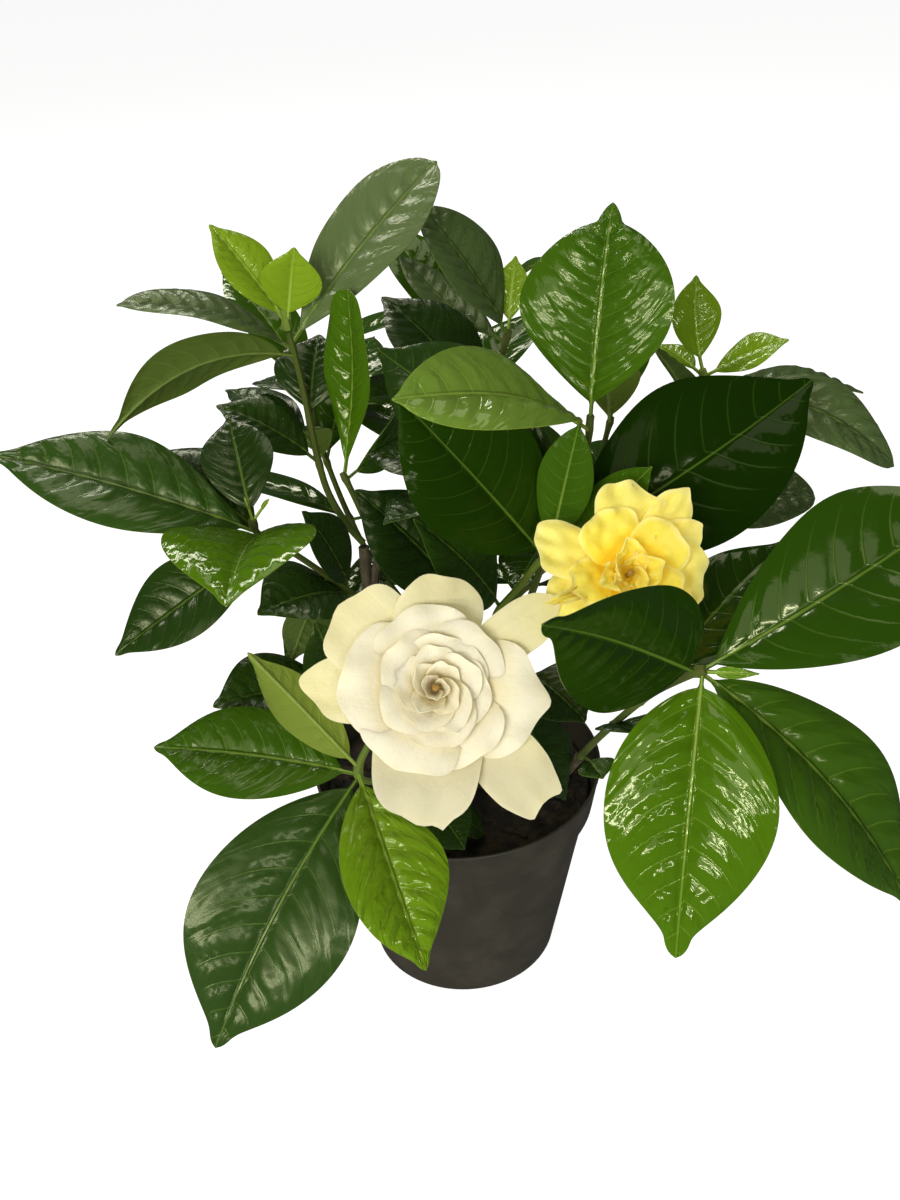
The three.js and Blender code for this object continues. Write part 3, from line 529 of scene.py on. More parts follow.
farBuild = {"pairs": [(0.2, -8, 0), (0.45, 8, 0), (0.7, 24, 0), (0.97, 44, 8)],   # at, rise, shorter
            "long": (62, 84), "wideShare": (0.42, 0.5), "bow": (6, 14), "heading": 18, "rise": 8,
            "roll": 12, "trimLong": 0.95, "trimWide": 0.93,
            "look": dict(relief=0.7, sharp=1, drip=0.02, dripHalf=0.6)}


def pairedLeaves(first, seed):  # trimmed a little, to give their neighbours room
    draw = drawFrom(seed)

    def either(term):
        return draw(-farBuild[term], farBuild[term])

    rows = []
    for pair, (at, rise, shorter) in enumerate(farBuild["pairs"]):
        for opposite in (0, 180):
            heading = first + 90 * pair + opposite + either("heading")
            lift = rise + either("rise")
            long = draw(*farBuild["long"]) - shorter
            wide = long * draw(*farBuild["wideShare"])
            rows.append([at, heading, lift, long * farBuild["trimLong"], wide * farBuild["trimWide"],
                         either("roll"), draw(*farBuild["bow"]), 0.1 + 0.1 * pair, farBuild["look"]])
    return rows


for name, shoot in backShoots.items():
    shoots[name] = {"line": shoot["line"], "leaves": pairedLeaves(shoot["first"], shoot["seed"])}

leafMaster = slab("leafMaster", leafBuild["columns"], leafBuild["rows"])


def leafBlade(base, row, chance):
    leaf = named(row, leafTerms, plainLeaf)
    mesh = leafMaster.data.copy()
    coords = coordsOf(mesh)
    v = np.sign(coords[:, 0]) * np.abs(coords[:, 0]) ** leafBuild["ribGather"]   # more columns at the rib
    t = (coords[:, 1] + 1) / 2
    t = t - leafBuild["endGather"] * np.sin(2 * math.pi * t)                     # more rows at both ends
    away, under = np.abs(v), coords[:, 2] < 0
    heading, rise, roll = (math.radians(leaf[key]) for key in ("heading", "rise", "roll"))
    ahead, above = np.array([math.cos(heading), math.sin(heading), 0]), np.array([0, 0, 1])
    chord = ahead * math.cos(rise) + above * math.sin(rise)
    flatUp = above * math.cos(rise) - ahead * math.sin(rise)
    flatSide = np.cross(flatUp, chord)
    up = flatUp * math.cos(roll) + flatSide * math.sin(roll)
    side = flatSide * math.cos(roll) - flatUp * math.sin(roll)
    long, bow, sweep, belly = leaf["long"], leaf["bow"] / 100, leaf["sweep"] / 100, leaf["belly"] / 100
    stalk = leafBuild["stalk"] / long
    u = np.clip((t - stalk) / (1 - stalk), 0, 1)

    # outline: a bent sine with a narrow drip tip, and never thinner than the stalk
    power = math.log(0.5) / math.log(belly)
    sharp = leaf.get("sharp", 1.0 - 2 * (belly - 0.52))
    fullness = 0.75 + (sharp - 0.75) * u * u
    drip, dripHalf = leaf["drip"], leaf.get("dripHalf", 0.075 * leaf["wide"])
    inBlade = np.minimum(1, u / (1 - 0.6 * drip))
    shape = np.maximum(np.sin(math.pi * inBlade ** power), 1e-9) ** fullness
    pastBlade = np.clip((u - 1 + drip + 0.03) / (drip + 0.03), 0, 1)
    tipHalf = dripHalf * (1 - pastBlade ** 1.8) ** 0.7 * (u > 0.5)
    half = np.maximum(0.6 - 0.45 * u, ((0.5 * leaf["wide"] * shape) ** 4 + tipHalf ** 4) ** 0.25)
    draw = drawFrom(int(chance * 1e6) + 7)
    turn, strength = draw(0, 6.28), draw(0.75, 1.25)
    size = min(1, long / 60)
    half = half * (1 + 0.02 * np.sin(9 * t + turn + 2 * np.sign(v)) * shape)

    # middle line, and the directions that ride on it
    middle = (base + np.outer(long * t, chord) + np.outer(long * bow * np.sin(math.pi * t), up)
              + np.outer(long * sweep * 4 * t * (1 - t), side))
    tangent = unit(chord + np.outer(bow * math.pi * np.cos(math.pi * t), up)
                   + np.outer(sweep * 4 * (1 - 2 * t), side))
    upright = unit(up - (tangent @ up)[:, None] * tangent)
    outward = np.cross(upright, tangent)
    twist = np.radians(leaf["twist"]) * (t - 0.5)
    turnedSide = outward * np.cos(twist)[:, None] - upright * np.sin(twist)[:, None]
    turnedUp = upright * np.cos(twist)[:, None] + outward * np.sin(twist)[:, None]

    # relief: fold, quilting between the veins, waved edge, crown, and a rib below
    fold = math.radians(leaf["fold"])
    steep = np.sqrt(v * v + 0.003) - 0.05
    pairs = leafBuild["veinPairs"] * (0.75 + 0.25 * size)
    veins = (pairs * (u - half / long * (0.42 * away + 0.5 * away ** 2.6))
             + np.where(v > 0, 0.3, 0) + turn)
    fromVein = np.abs(veins - np.round(veins)) * 2
    calm = (np.clip(away * 6, 0, 1) * (1 - away ** 5) * np.clip(u * 8, 0, 1)
            * np.clip((1 - u) * 5, 0, 1))
    quilt = (leafBuild["quilt"] * leaf["wide"] * leaf["relief"] * strength * calm
             * (1 - (1 - fromVein) ** 2.2))
    edge = (leafBuild["wave"] * long * away ** 3
            * np.sin(2 * math.pi * leafBuild["waves"] * t + turn + 1.3 * np.sign(v)) * shape)
    crown = leafBuild["crown"] * half * (away * 1.1 - away ** 2.4)
    rib = np.exp(-(v * half / leafBuild["ribWide"]) ** 2)
    lift = half * steep * math.sin(fold) + quilt + edge * 0.5 + crown
    thick = leafBuild["thick"] * (1 - 0.45 * away ** 6)
    thick = thick + np.where(under, leafBuild["ribHigh"] * rib * (1 - 0.75 * t) * size,
                             0.5 * rib * np.clip(1 - u * 14, 0, 1))
    lean = v / np.sqrt(v * v + 0.02)
    normal = turnedUp * math.cos(fold) - turnedSide * (lean * math.sin(fold))[:, None]
    place = (middle + turnedSide * (half * v * math.cos(fold))[:, None] + turnedUp * lift[:, None]
             + normal * (np.sign(coords[:, 2]) * thick / 2)[:, None])
    setCoords(mesh, place * mm)
    return note(newObject("blade", mesh), bladePlace=(v, u, veins), bladeLook=(leaf["age"], chance, under),
                ribPlace=(v * half, leaf["grey"], leaf["relief"]))


def tube(name, points, radii, roundness=1):  # a stem round a line of points, in mm
    curve = bpy.data.curves.new(name, "CURVE")
    curve.dimensions = "3D"
    curve.bevel_depth = mm
    curve.bevel_resolution = roundness
    curve.use_fill_caps = True
    spline = curve.splines.new("POLY")
    spline.points.add(len(points) - 1)
    for knot, place, radius in zip(spline.points, points, radii):
        knot.co = (*(place * mm), 1)
        knot.radius = radius
    selectOnly(newObject(name, curve))
    bpy.ops.object.convert(target="MESH")
    editAll()
    bpy.ops.mesh.remove_doubles(threshold=1e-6)
    endEdit()
    return smooth(bpy.context.object, 50)


stemBuild = {"radius": 1.4, "taper": 0.25, "step": 2.5, "knob": 0.28, "knobReach": 1.8, "age": 0.25}


def greenStem(line, leaves, age):  # thicker where a leaf stands
    shares = np.linspace(0, 1, max(6, int(line.length / stemBuild["step"])) + 1)
    radii = stemBuild["radius"] - stemBuild["taper"] * shares
    for row in leaves:
        past = (shares - row[0]) * line.length
        radii = radii + stemBuild["knob"] * np.exp(-(past / stemBuild["knobReach"]) ** 2)
    return note(tube("stem", line.at(shares), radii), bladePlace=(0, 0, 0), bladeLook=(age, 0.5, 2),
                ribPlace=(9, 0, 1))


def pieceName(node):
    first, *rest = node.split("_")
    return first + "".join(word.capitalize() for word in rest)


grown = {}
for node, shoot in shoots.items():
    line = StemLine(shoot["line"])
    draw = drawFrom(len(grown) * 31 + 5)
    parts = [greenStem(line, shoot["leaves"], shoot.get("green", stemBuild["age"]))]
    for row in shoot["leaves"]:
        parts.append(leafBlade(line.at(row[0])[0], row, draw(0, 1)))
    grown[node] = parts
print("leaves made:", sum(len(parts) - 1 for parts in grown.values()))


# blooms

petalTerms = ["turn", "long", "wide", "lift", "tipLift", "cup", "tip"]
plainPetal = {"wrap": 0, "swing": 0, "peak": 0.66, "points": []}   # each point: place across, push, width

# each petal: its petalTerms in turn, then what is unlike its ring and plainPetal
blooms = {
    "white_bloom": {
        "seat": (-6, -86, 197), "axis": (0.02, -0.8, 0.6), "seed": 143, "crinkle": 1, "rolled": 0.15,
        "outer": {"start": 6.2, "lean": 1.6, "rows": [
            [136, 33, 31, 26, -8, 0.06, 0.5],
            [86, 29, 28, 26, -2, 0.06, 0.6, dict(swing=-6)],
            [31.5, 41, 17, 28, -2, 0.12, 0.75],
            [-48, 43, 22, 25, -10, 0.04, 0.35,
             dict(swing=-5, peak=0.72, points=[[0.65, 0.08, 0.2], [-0.6, 0.06, 0.2]])],
            [-102, 36, 35, 26, -6, 0.06, 0.45,
             dict(peak=0.45, points=[[-0.5, 0.03, 0.2], [0.5, 0.09, 0.1]])],
            [180, 34, 22, 25, -6, 0.08, 0.7, dict(swing=-6, peak=0.6, points=[[-0.4, 0.08, 0.3]])]]},
        "middle": {"start": 5.4, "wrap": 0.1, "lean": 1.1, "rows": [
            [168, 27, 36, 56, 0, 0.03, 0.5],
            [100, 23, 32, 58, 4, 0.03, 0.5],
            [42, 21, 26, 60, 6, 0.03, 0.5],
            [-13, 29, 38, 44, -4, 0.04, 0.75, dict(wrap=0, peak=0.6, points=[[0.1, 0.08, 0.25]])],
            [-66, 23, 30, 56, 2, 0.03, 0.5],
            [-120, 25, 33, 56, 0, 0.03, 0.5]]},
        "rings": [
            {"count": 5, "start": 4.7, "wrap": 0.3, "lean": 1, "row": [60, 18, 25, 72, 12, 0.02, 0.5]},
            {"count": 5, "start": 3.9, "wrap": 0.7, "lean": 0.9, "row": [20, 16, 19, 78, 28, 0, 0.5]},
            {"count": 4, "start": 3, "wrap": 1, "lean": 0.8, "row": [50, 14, 13, 83, 50, 0, 0.5]},
            {"count": 3, "start": 1.7, "wrap": 1, "lean": 0.5, "row": [10, 12.5, 8.5, 88, 72, 0, 0.6]}]},
    "yellow_bloom": {
        "seat": (57, -67, 224), "axis": (0, -0.8, 0.6), "seed": 156, "crinkle": 2, "rolled": 0.9,
        "outer": {"start": 6, "lean": 1.5, "rows": [
            [82, 23.5, 25, 28, 2, 0.06, 0.8,
             dict(swing=6, points=[[0.8, 0.14, 0.35], [-0.6, -0.12, 0.4]])],
            [52, 27, 14, 26, -4, 0.06, 0.9],
            [31, 22, 14, 28, 0, 0.06, 0.9],
            [-3, 18, 24, 28, 4, 0.04, 0.35, dict(points=[[0.3, 0.08, 0.2], [-0.6, 0.08, 0.2]])],
            [-48, 16, 24, 28, 2, 0.04, 0.6],
            [-100, 16, 24, 28, 2, 0.04, 0.6],
            [-157, 21, 22, 30, 0, 0.04, 0.55],
            [157, 25, 18, 28, 0, 0.04, 0.6, dict(points=[[-0.7, 0.12, 0.35]])]]},
        "middle": {"start": 4.8, "lean": 1, "rows": [
            [114, 19.5, 20, 60, 6, 0.04, 0.5],
            [38, 18.5, 20, 62, 10, 0.04, 0.5],
            [-34, 16, 18, 64, 12, 0.04, 0.5, dict(wrap=0.1)],
            [-105, 15, 18, 64, 14, 0.04, 0.5, dict(wrap=0.1)],
            [187, 18, 15, 60, 14, 0.04, 0.6]]},
        "dried": {"start": 2.4, "lean": 0, "rows": [
            [198, 26, 4.5, 44, 30, 0.3, 0.6, dict(start=6, lean=0.4)],
            [70, 11, 2, 70, 56, 0.5, 0.7],
            [-50, 12, 2.2, 66, 50, 0.5, 0.7, dict(swing=8)],
            [-150, 12, 1.8, 72, 62, 0.5, 0.7]]},
        "rings": [
            {"count": 4, "start": 3.2, "wrap": 0.7, "lean": 0.8, "row": [10, 14, 13, 78, 46, 0, 0.55]},
            {"count": 3, "start": 2, "wrap": 1, "lean": 0.5, "row": [60, 9, 7, 80, 60, 0, 0.6]}]},
}
petalBuild = {"columns": 24, "rows": 30, "tipGather": 1.6, "thick": 0.6, "root": 1.7, "ramp": 0.25,
              "ruffle": 0.022, "innerRuffle": 1.8, "pucker": 0.9, "curl": 0.1, "curlFrom": 0.55,
              "curlTip": 0.8, "uneven": dict(turn=11, long=0.07, wide=0.12, lift=3, tipLift=6)}
petalMaster = slab("petalMaster", petalBuild["columns"], petalBuild["rows"])


def petalsOf(bloom):  # ring 0 is the outermost, 9 the dried ones
    petals = []
    for ring, group in ((0, "outer"), (1, "middle"), (9, "dried")):
        shared = bloom.get(group, {"rows": []})
        plain = {**plainPetal, **shared, "ring": ring}
        petals += [named(row, petalTerms, plain) for row in shared["rows"]]
    draw, rolling = drawFrom(bloom["seed"]), drawFrom(bloom["seed"] + 1)
    for ring, shared in enumerate(bloom["rings"], 2):
        for k in range(shared["count"]):
            petal = named(shared["row"], petalTerms, {**plainPetal, **shared, "ring": ring})
            petal["turn"] += 360 * k / shared["count"]
            for term, spread in petalBuild["uneven"].items():
                if term in ("long", "wide"):
                    petal[term] *= draw(1 - spread, 1 + spread)
                else:
                    petal[term] += draw(-spread, spread)
            petal["cup"] += rolling(0, bloom["rolled"])
            petals.append(petal)
    return petals


def bloomFrame(bloom):
    out = Vector(bloom["axis"]).normalized()
    right = Vector((0, 0, 1)).cross(out).normalized()
    return np.array(bloom["seat"], float), np.array(out), np.array(right), np.array(out.cross(right))


def petalBlade(bloomAxes, petal, chance, crinkle):
    seat, axis, right, up = bloomAxes
    long, wide = petal["long"], petal["wide"]
    mesh = petalMaster.data.copy()
    coords = coordsOf(mesh)
    v, t = coords[:, 0], 1 - ((1 - coords[:, 1]) / 2) ** petalBuild["tipGather"]
    lift, tipLift = math.radians(petal["lift"]), math.radians(petal["tipLift"])
    bend = tipLift - lift
    draw = drawFrom(int(chance * 1e6) + 3)
    turn, uneven, notch = draw(0, 6.28), draw(-0.07, 0.07), draw(-0.03, 0.05)
    peak, square = petal["peak"], 4.6 - 3 * petal["tip"]
    fall = 1 - np.clip((t - peak) / (1 - peak), 0, 1) ** square
    outline = (np.sin(0.5 * math.pi * np.minimum(1, (0.07 + 0.93 * t) / peak)) ** 0.85
               * fall ** max(0.5, petal["tip"] * 0.8))
    half = np.maximum(0.5, 0.5 * wide * outline)
    strong = (1 if petal["ring"] == 0 else petalBuild["innerRuffle"]) * crinkle

    def surface(t, v, half):
        half = half * (1 + uneven * v * t + 0.05 * np.sin(6 * t + turn) * t)
        across = v * half
        out = 2 * across / wide
        push = 0.05 * (1 - out * out) + notch * np.cos(3.1 * out + turn) + 0.02 * np.sin(6.5 * out + turn)
        for place, size, width in petal["points"]:
            push = push + size * np.exp(-((out - place) / width) ** 2)
        far = t * (1 + push * t ** 3)
        slope = lift + bend * far                        # the petal bends along an arc
        reach = petal["start"] + long * (np.sin(slope) - math.sin(lift)) / bend
        height = petalBuild["root"] + long * (math.cos(lift) - np.cos(slope)) / bend
        leaning = v + (out - v) * t ** 6
        raised = (petal["cup"] * v * v * half
                  + petal["lean"] * leaning * np.minimum(1, t / petalBuild["ramp"]))
        ruffle = petalBuild["ruffle"] * wide * strong * t ** 2 * (
            np.sin(2.4 * out + 3 * t + turn) + 1.1 * out * out * np.sin(8 * t + 2 * turn + np.sign(v))
            + 0.6 * t ** 2 * np.sin(7.5 * out + 1.7 * turn))
        pucker = petalBuild["pucker"] * (crinkle - 0.85) * t * (
            np.sin(6.5 * out + 5 * t + turn) * np.sin(12 * t - 3 * out + 2 * turn)
            + 0.5 * np.sin(15 * t + 4 * out + 3 * turn) * np.sin(8 * out - 4 * t + turn))
        curl = -petalBuild["curl"] * (0.4 + 0.6 * crinkle) * wide * (
            np.clip(np.abs(out) - petalBuild["curlFrom"], 0, 1) ** 2 * 2 * t
            + np.clip(far - petalBuild["curlTip"], 0, 1) ** 2 * 2)
        raised = raised + ruffle + pucker + curl
        radius = reach - raised * np.sin(slope)
        level = height + raised * np.cos(slope)
        angle = math.radians(petal["turn"]) + petal["wrap"] * across / np.maximum(radius, 3)
        aside = (1 - petal["wrap"]) * across + petal["swing"] / 100 * long * t * t
        return (seat + np.outer(radius * np.cos(angle) - aside * np.sin(angle), right)
                + np.outer(radius * np.sin(angle) + aside * np.cos(angle), up) + np.outer(level, axis))

    small = 1e-3                                         # a little step gives the normal
    here = surface(t, v, half)
    alongWay = surface(t + small, v, half) - here
    sideWay = surface(t, v + small, half) - here
    normal = np.cross(sideWay, alongWay)
    normal /= np.linalg.norm(normal, axis=1)[:, None] + 1e-12
    thick = petalBuild["thick"] * (1 - 0.6 * np.abs(v) ** 6) * (1 - 0.6 * t)
    setCoords(mesh, (here + normal * (np.sign(coords[:, 2]) * thick / 2)[:, None]) * mm)
    return note(newObject("petal", mesh), petalPlace=(v, t, v * half),
                petalLook=(petal["ring"], chance, half - np.abs(v) * half))


def petalFinish(name, colours):
    # the emission is a painted glow in the petals' own colour, which lifts their shade
    f = Finish(name, Subsurface_Weight=0.4, Subsurface_Scale=0.0014, Subsurface_Radius=(1.0, 0.85, 0.55),
               Specular_IOR_Level=0.35, Emission_Strength=colours["glow"])
    place = f.attribute("petalPlace")      # across, along, mm across
    look = f.attribute("petalLook")        # ring 0 is outermost and 9 dried, chance, mm from the edge
    along, side = place.part(1), place.part(2)
    ring, chance, fromEdge = look.part(0), look.part(1), look.part(2)
    base = f.mix(along.step(0.05, 0.75), colours["root"], colours["tip"])
    high = f.place().part(2).step(0.178, 0.2)            # height on the plant, in metres
    # outer petals low on the plant take the darker colour, partly aging and partly painted shade where
    # less light falls; upper ones take the lighter agedHigh
    aged = f.mix(high, colours["aged"], colours["agedHigh"])
    aged = f.mix(high * along.step(0.55, 1.0) * 0.7, aged, colours["agedTip"])
    base = f.mix((1 - ring.step(0.0, 0.9)) * (0.45 + chance * 0.5), base, aged)
    rim = along.sum("MAXIMUM", along.step(0.86, 1.0), 1 - fromEdge.step(0.2, 1.8)) * along.step(0.2, 0.5)
    base = f.mix(rim * colours["edgeShare"], base, colours["edge"])
    heart = ring.step(3.5, 4.8) * (1 - along.step(0.5, 0.95))
    base = f.mix(heart * 0.3, base, colours["heart"])
    streaks = f.noise(1.0, 3, 0.5, f.vector(side * 1.6, along * 2.2, chance * 40))
    # painted shade: inner-ring petals darken towards their roots, where the next ring covers them; the
    # streaks use the same darker tone
    paintedShadeNearRoot = (1 - along.step(0.4, 0.85)) * ring.step(0.0, 0.6)
    tint = f.mix(streaks * 0.3 + paintedShadeNearRoot * 0.38, base, colours["deep"])
    tint = f.mix(f.noise(420, 2, 0.5).step(0.7, 0.78) * colours["speckShare"], tint, colours["speck"])
    dried = ring.step(7, 8) * (1 - along.step(0.45, 0.8) * 0.85)
    tint = f.mix(dried * (0.25 + streaks * 0.5), tint, colours["dried"])
    crimped = f.noise(260, 3, 0.6) * colours["crimp"]
    f.bump(streaks * 0.35 + f.noise(900, 2, 0.5) * 0.2 + crimped, 0.00025, 0.6)
    # painted glow: emission in the petal colour at the glow strength
    return f.set(Base_Color=tint, Roughness=0.48 + streaks * 0.1, Emission_Color=tint)


bothBlooms = {"heart": (0.5, 0.33, 0.08), "dried": (0.3, 0.14, 0.02)}
petalLooks = {
    "white_bloom": petalFinish("creamPetal", {
        **bothBlooms, "root": (0.8, 0.7, 0.38), "tip": (0.87, 0.82, 0.65), "aged": (0.5, 0.48, 0.34),
        "agedHigh": (0.82, 0.77, 0.45), "agedTip": (0.8, 0.7, 0.22), "edge": (0.8, 0.72, 0.42),
        "deep": (0.66, 0.56, 0.3), "speck": (0.55, 0.4, 0.15), "speckShare": 0.1, "edgeShare": 0.25,
        "crimp": 2, "glow": 0.05}),
    "yellow_bloom": petalFinish("butterPetal", {
        **bothBlooms, "root": (0.92, 0.64, 0.012), "tip": (0.95, 0.8, 0.12), "aged": (0.94, 0.79, 0.13),
        "agedHigh": (0.92, 0.82, 0.22), "agedTip": (0.93, 0.84, 0.26), "edge": (0.97, 0.88, 0.36),
        "deep": (0.9, 0.66, 0.03), "speck": (0.3, 0.13, 0.01), "speckShare": 0.5, "edgeShare": 0.7,
        "crimp": 3, "glow": 0.1}),
}
cupBuild = {"profile": [(3.6, 0), (7.8, 2), (7.8, 3.6)], "sides": 20}
calyxBuild = {"profile": [(1.4, 0), (2.6, 3), (3.8, 7.2), (3.8, 9)], "sides": 16, "sunk": 0.3,
              "sepals": 5, "sepalLong": 9, "sepalWide": 2.4, "sepalDroop": 0.18}
columnBuild = {"profile": [(0.9, 0), (0.8, 4), (0.9, 6.3), (1.2, 7.4), (0.9, 8.5), (0.3, 8.9)],
               "sides": 14, "stands": 3.9}


def standing(piece, place, axis):  # from along +Z at the origin to along an axis at a place, in mm
    turn = Vector((0, 0, 1)).rotation_difference(Vector(axis)).to_matrix()
    coords = coordsOf(piece.data) @ np.array(turn).T + np.array(place) * mm
    setCoords(piece.data, coords)
    return piece


for name, bloom in blooms.items():
    axes = bloomFrame(bloom)
    seat, out, right, up = axes
    draw = drawFrom(len(name) * 13)
    petals = [petalBlade(axes, petal, draw(0, 1), bloom["crinkle"]) for petal in petalsOf(bloom)]
    cup = smooth(turnedForm("cup", cupBuild), 40)
    standing(note(cup, petalPlace=(0, 0, 0), petalLook=(1, 0.5, 0)), seat, out)
    piece = joined(pieceName(name + "_petals"), [*petals, cup])
    dress(piece, name + "_petals", petalLooks[name])

    mouth = seat - calyxBuild["sunk"] * out
    calyx = smooth(turnedForm("calyx", calyxBuild), 40)
    note(calyx, bladePlace=(0, 0, 0), bladeLook=(0.7, 0.4, 2), ribPlace=(9, 0, 1))
    shoot = grown["shoot_" + name]
    shoot.append(standing(calyx, mouth - calyxBuild["profile"][-1][1] * out, out))
    for k in range(calyxBuild["sepals"]):
        angle = 2 * math.pi * k / calyxBuild["sepals"]
        way = right * math.cos(angle) + up * math.sin(angle) - calyxBuild["sepalDroop"] * out
        heading = math.degrees(math.atan2(way[1], way[0]))
        rise = math.degrees(math.asin(way[2] / np.linalg.norm(way)))
        sepal = [0, heading, rise, calyxBuild["sepalLong"], calyxBuild["sepalWide"], 0, 4, 0.8]
        shoot.append(leafBlade(mouth - 1.1 * out + 2 * way, sepal, draw(0, 1)))
print("blooms made")

for node, parts in grown.items():
    piece = joined(pieceName(node), parts)
    dress(piece, node,
          dullLook if node == "shoot_yellow_bloom" else leafLook)


# bloom centres

f = Finish("bloomCentre", Roughness=0.6)
grains = f.noise(900, 3)
f.bump(grains, 0.0002)
centreLook = f.set(Base_Color=f.mix(grains, (0.22, 0.1, 0.015), (0.6, 0.38, 0.07)))
for name, bloom in blooms.items():
    seat, out = bloomFrame(bloom)[:2]
    column = smooth(turnedForm("column", columnBuild), 40)
    standing(column, seat + columnBuild["stands"] * out, out)
    column.name = pieceName(name + "_centre")
    dress(column, name + "_centre", centreLook)
print("bloom centres made")


# woody stems

woodBuild = {"spurRadius": 1.6, "step": 4, "knob": 0.06, "knobEvery": 3.1, "taper": 0.1, "roundness": 2}
woody = {
    "woody_stem_left": {"radius": 2.4, "lines": [
        [[-15, 4, 48], [-15, 4, 90], [-18, 4, 112], [-25, 4, 145], [-31, 6, 172], [-32, 8, 196]],
        [[-30.5, 6, 172], [-28, 5, 187], [-26, 4, 197]],
        [[-28.5, 5, 160], [-33, 2, 170], [-36, -1, 178]],
        [[-16.5, 4, 102], [-20, -10, 114], [-24, -21, 124]]]},
    "woody_stem_front": {"radius": 2.2, "lines": [
        [[-7.5, -28.5, 48], [-7.5, -28.5, 88], [-8, -30, 92]]]},
    "woody_stem_middle": {"radius": 2.4, "lines": [
        [[9.5, -5, 48], [9.5, -5, 90], [7, -8, 112], [5, -12, 145], [7, -14, 165]],
        [[5, -11.5, 142], [6.5, -14.5, 151], [9, -18, 160]],
        [[7.3, -7.5, 108], [9.5, -11.5, 115], [12, -16, 122]]]},
    "woody_stem_right": {"radius": 2.3, "lines": [
        [[43, -12, 48], [43, -12, 90], [44, -19, 103], [47, -34, 122]]]},
    "woody_stem_back_right": {"radius": 2.3, "spurRadius": 1.7, "lines": [
        [[26, 3, 48], [26, 3, 90], [24, 0, 110], [22, -6, 140], [24, -11, 162]],
        [[24.3, 0, 106], [28, 2.5, 114], [33, 5.5, 121]]]},
    "woody_stem_back": {"radius": 2.4, "spurRadius": 1.7, "lines": [
        [[-2, 24, 48], [-2, 24, 90], [-3, 30, 115], [-1, 44, 150]],
        [[-3, 28.5, 110], [-9, 35, 128], [-16, 40, 142]],
        [[-2.8, 27, 104], [7, 33, 122], [18, 38, 138]]]},
}
f = Finish("youngBark", Roughness=0.75)
longWise = f.node("ShaderNodeMapping", {}, {"Vector": f.place(), "Scale": (1, 1, 0.25)})
fibres = f.noise(300, 4, 0.7, longWise)
f.bump(fibres, 0.0006, 0.8)
barkLook = f.set(Base_Color=f.mix(fibres.step(0.3, 0.7), (0.03, 0.022, 0.011), (0.11, 0.09, 0.05)))
for node, stem in woody.items():
    tubes = []
    for k, points in enumerate(stem["lines"]):
        line = StemLine(points)
        shares = np.linspace(0, 1, max(5, int(line.length / woodBuild["step"])) + 1)
        radius = stem["radius"] if k == 0 else stem.get("spurRadius", woodBuild["spurRadius"])
        knobs = 1 + woodBuild["knob"] * np.sin(shares * line.length / woodBuild["knobEvery"] + k)
        radii = radius * knobs * (1 - woodBuild["taper"] * shares)
        tubes.append(tube("stem", line.at(shares), radii, woodBuild["roundness"]))
    dress(joined(pieceName(node), tubes), node, barkLook)
print("stems made")


# pot and soil

potBuild = {"sides": 96, "drainRadius": 3.5, "drainCircle": 26, "drainHoles": 6, "profile": [
    (0.05, 0), (10.6, 0), (11, 0.3), (11, 2), (36, 2), (36, 0.4), (36.4, 0), (39.6, 0), (40.05, 0.5),
    (45, 27), (49.9, 54), (54.35, 77.6), (54.5, 78), (56.4, 78.2), (56.65, 78.6), (57.2, 82), (59.2, 94.6),
    (59.6, 95.6), (59.3, 96), (58.6, 96), (58.3, 95.6), (55.4, 79.6), (54.9, 79), (53, 77.5), (48.6, 54),
    (43.6, 27), (39.6, 5), (39, 4), (0.05, 4)]}
pot = turnedForm("pot", potBuild)
for k in range(potBuild["drainHoles"]):
    angle = 2 * math.pi * k / potBuild["drainHoles"]
    holeX = potBuild["drainCircle"] * math.cos(angle) * mm
    holeY = potBuild["drainCircle"] * math.sin(angle) * mm
    bpy.ops.mesh.primitive_cylinder_add(vertices=20, radius=potBuild["drainRadius"] * mm, depth=0.02,
                                        location=(holeX, holeY, 0.003))
    drill = bpy.context.object
    cut = pot.modifiers.new("drain", "BOOLEAN")
    cut.operation, cut.object, cut.solver = "DIFFERENCE", drill, "EXACT"
    selectOnly(pot)
    bpy.ops.object.modifier_apply(modifier=cut.name)
    bpy.data.objects.remove(drill)
smooth(pot, 35)
pot.name = "nurseryPot"
f = Finish("darkPlastic", Specular_IOR_Level=0.5)
scuffs = f.noise(60, 4, 0.6)
f.bump(f.noise(2200, 2, 0.5), 0.00008, 0.5)
potColour = f.mix(scuffs.step(0.35, 0.8), (0.032, 0.028, 0.02), (0.052, 0.046, 0.033))
dress(pot, "pot", f.set(Base_Color=potColour, Roughness=0.42 + scuffs * 0.1))

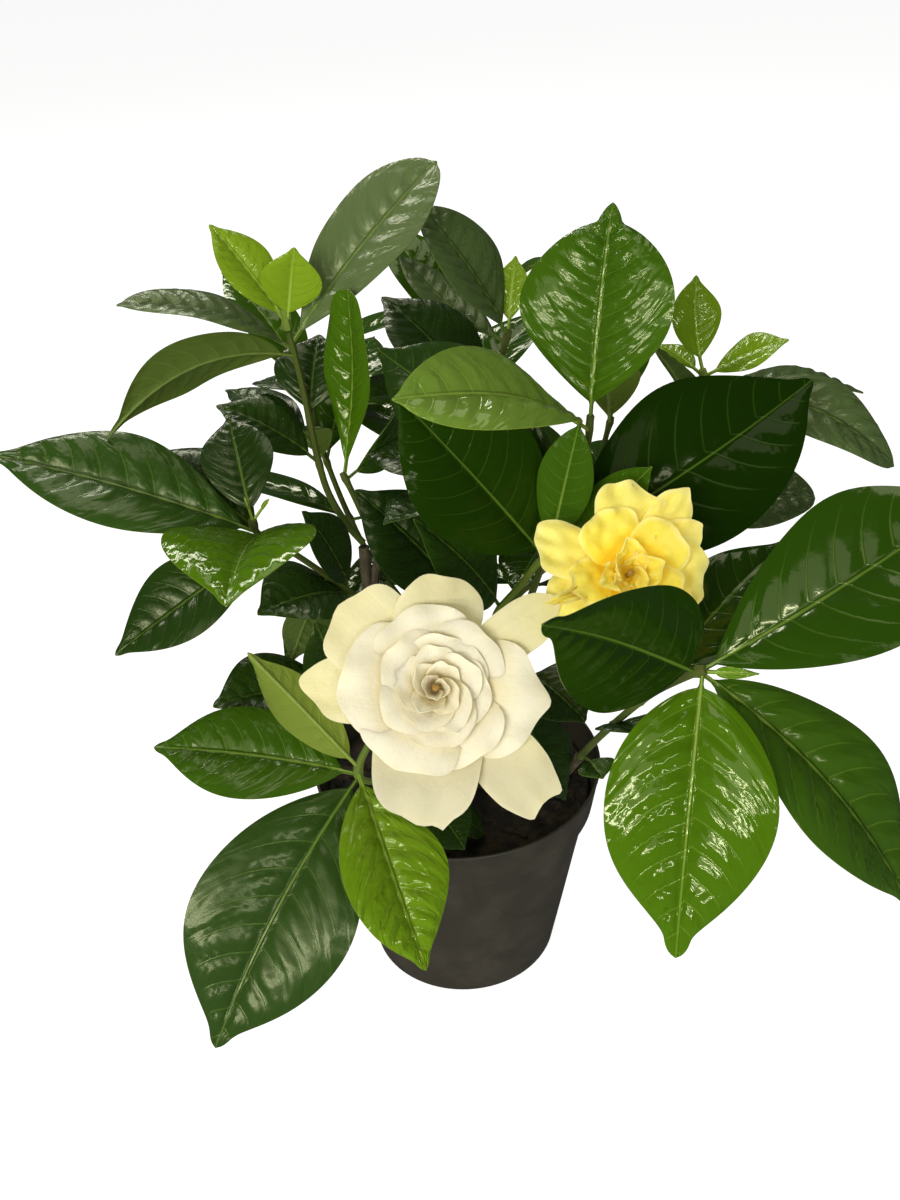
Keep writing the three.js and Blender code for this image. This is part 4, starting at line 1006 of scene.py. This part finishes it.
soilBuild = {"level": 84, "edge": 54.5, "sides": 60, "rings": 14, "swell": 2.0, "lump": 1.3, "crumb": 0.7,
             "chips": 170, "chipReach": 52, "chipSize": (0.8, 2.6), "chipRough": (0.75, 1.2),
             "chipStretch": [(0.9, 1.9), (0.6, 1), (0.35, 0.7)], "chipTilt": 0.5, "seed": 11,
             "profile": [(39.2, 4.4), (42, 20), (48, 54), (52.6, 78.4), (54.3, 81), (54.5, 83.5)]}
level, soilEdge = soilBuild["level"], soilBuild["edge"]
for k in range(1, soilBuild["rings"] + 1):
    soilBuild["profile"].append((soilEdge * (1 - k / soilBuild["rings"]) + 0.05, level))
soil = turnedForm("soil", soilBuild)
coords = coordsOf(soil.data)
for k, (x, y, z) in enumerate(coords / mm):
    if z > level - 1:
        inward = 1 - min(1, math.hypot(x, y) / soilEdge)
        lumps = (noise.noise(Vector((x, y, 3)) * 0.16) * soilBuild["lump"]
                 + noise.noise(Vector((x, y, 9)) * 0.5) * soilBuild["crumb"])
        coords[k, 2] = (level + soilBuild["swell"] * math.sqrt(inward) + lumps * min(1, inward * 9)) * mm
setCoords(soil.data, coords)
draw = drawFrom(soilBuild["seed"])
chips = [soil]
bpy.ops.mesh.primitive_ico_sphere_add(subdivisions=1)
chipMaster = bpy.context.object
for k in range(soilBuild["chips"]):
    radius, angle = soilBuild["chipReach"] * math.sqrt(draw(0.02, 1)), draw(0, 2 * math.pi)
    mesh = chipMaster.data.copy()
    size = draw(*soilBuild["chipSize"])
    rough = np.array([draw(*soilBuild["chipRough"]) for _ in range(len(mesh.vertices))])
    turn = Matrix.Rotation(draw(0, 6.3), 3, "Z")
    turn = turn @ Matrix.Rotation(draw(-soilBuild["chipTilt"], soilBuild["chipTilt"]), 3, "X")
    stretch = np.array([size * draw(*span) for span in soilBuild["chipStretch"]])
    height = level + 0.2 + soilBuild["swell"] * math.sqrt(1 - radius / soilEdge)
    place = np.array([radius * math.cos(angle), radius * math.sin(angle), height])
    setCoords(mesh, ((coordsOf(mesh) * rough[:, None] * stretch) @ np.array(turn).T + place) * mm)
    chips.append(newObject("chip", mesh))
bpy.data.objects.remove(chipMaster)
soil = smooth(joined("pottingSoil", chips), 30)
f = Finish("pottingMix", Roughness=0.9)
f.bump(f.noise(420, 5, 0.7), 0.0012)
soilColour = f.mix(f.noise(160, 3).step(0.4, 0.7), (0.01, 0.008, 0.006), (0.05, 0.032, 0.018))
dress(soil, "soil", f.set(Base_Color=soilColour))
print("pot and soil made")

for master in (leafMaster, petalMaster):
    bpy.data.objects.remove(master)
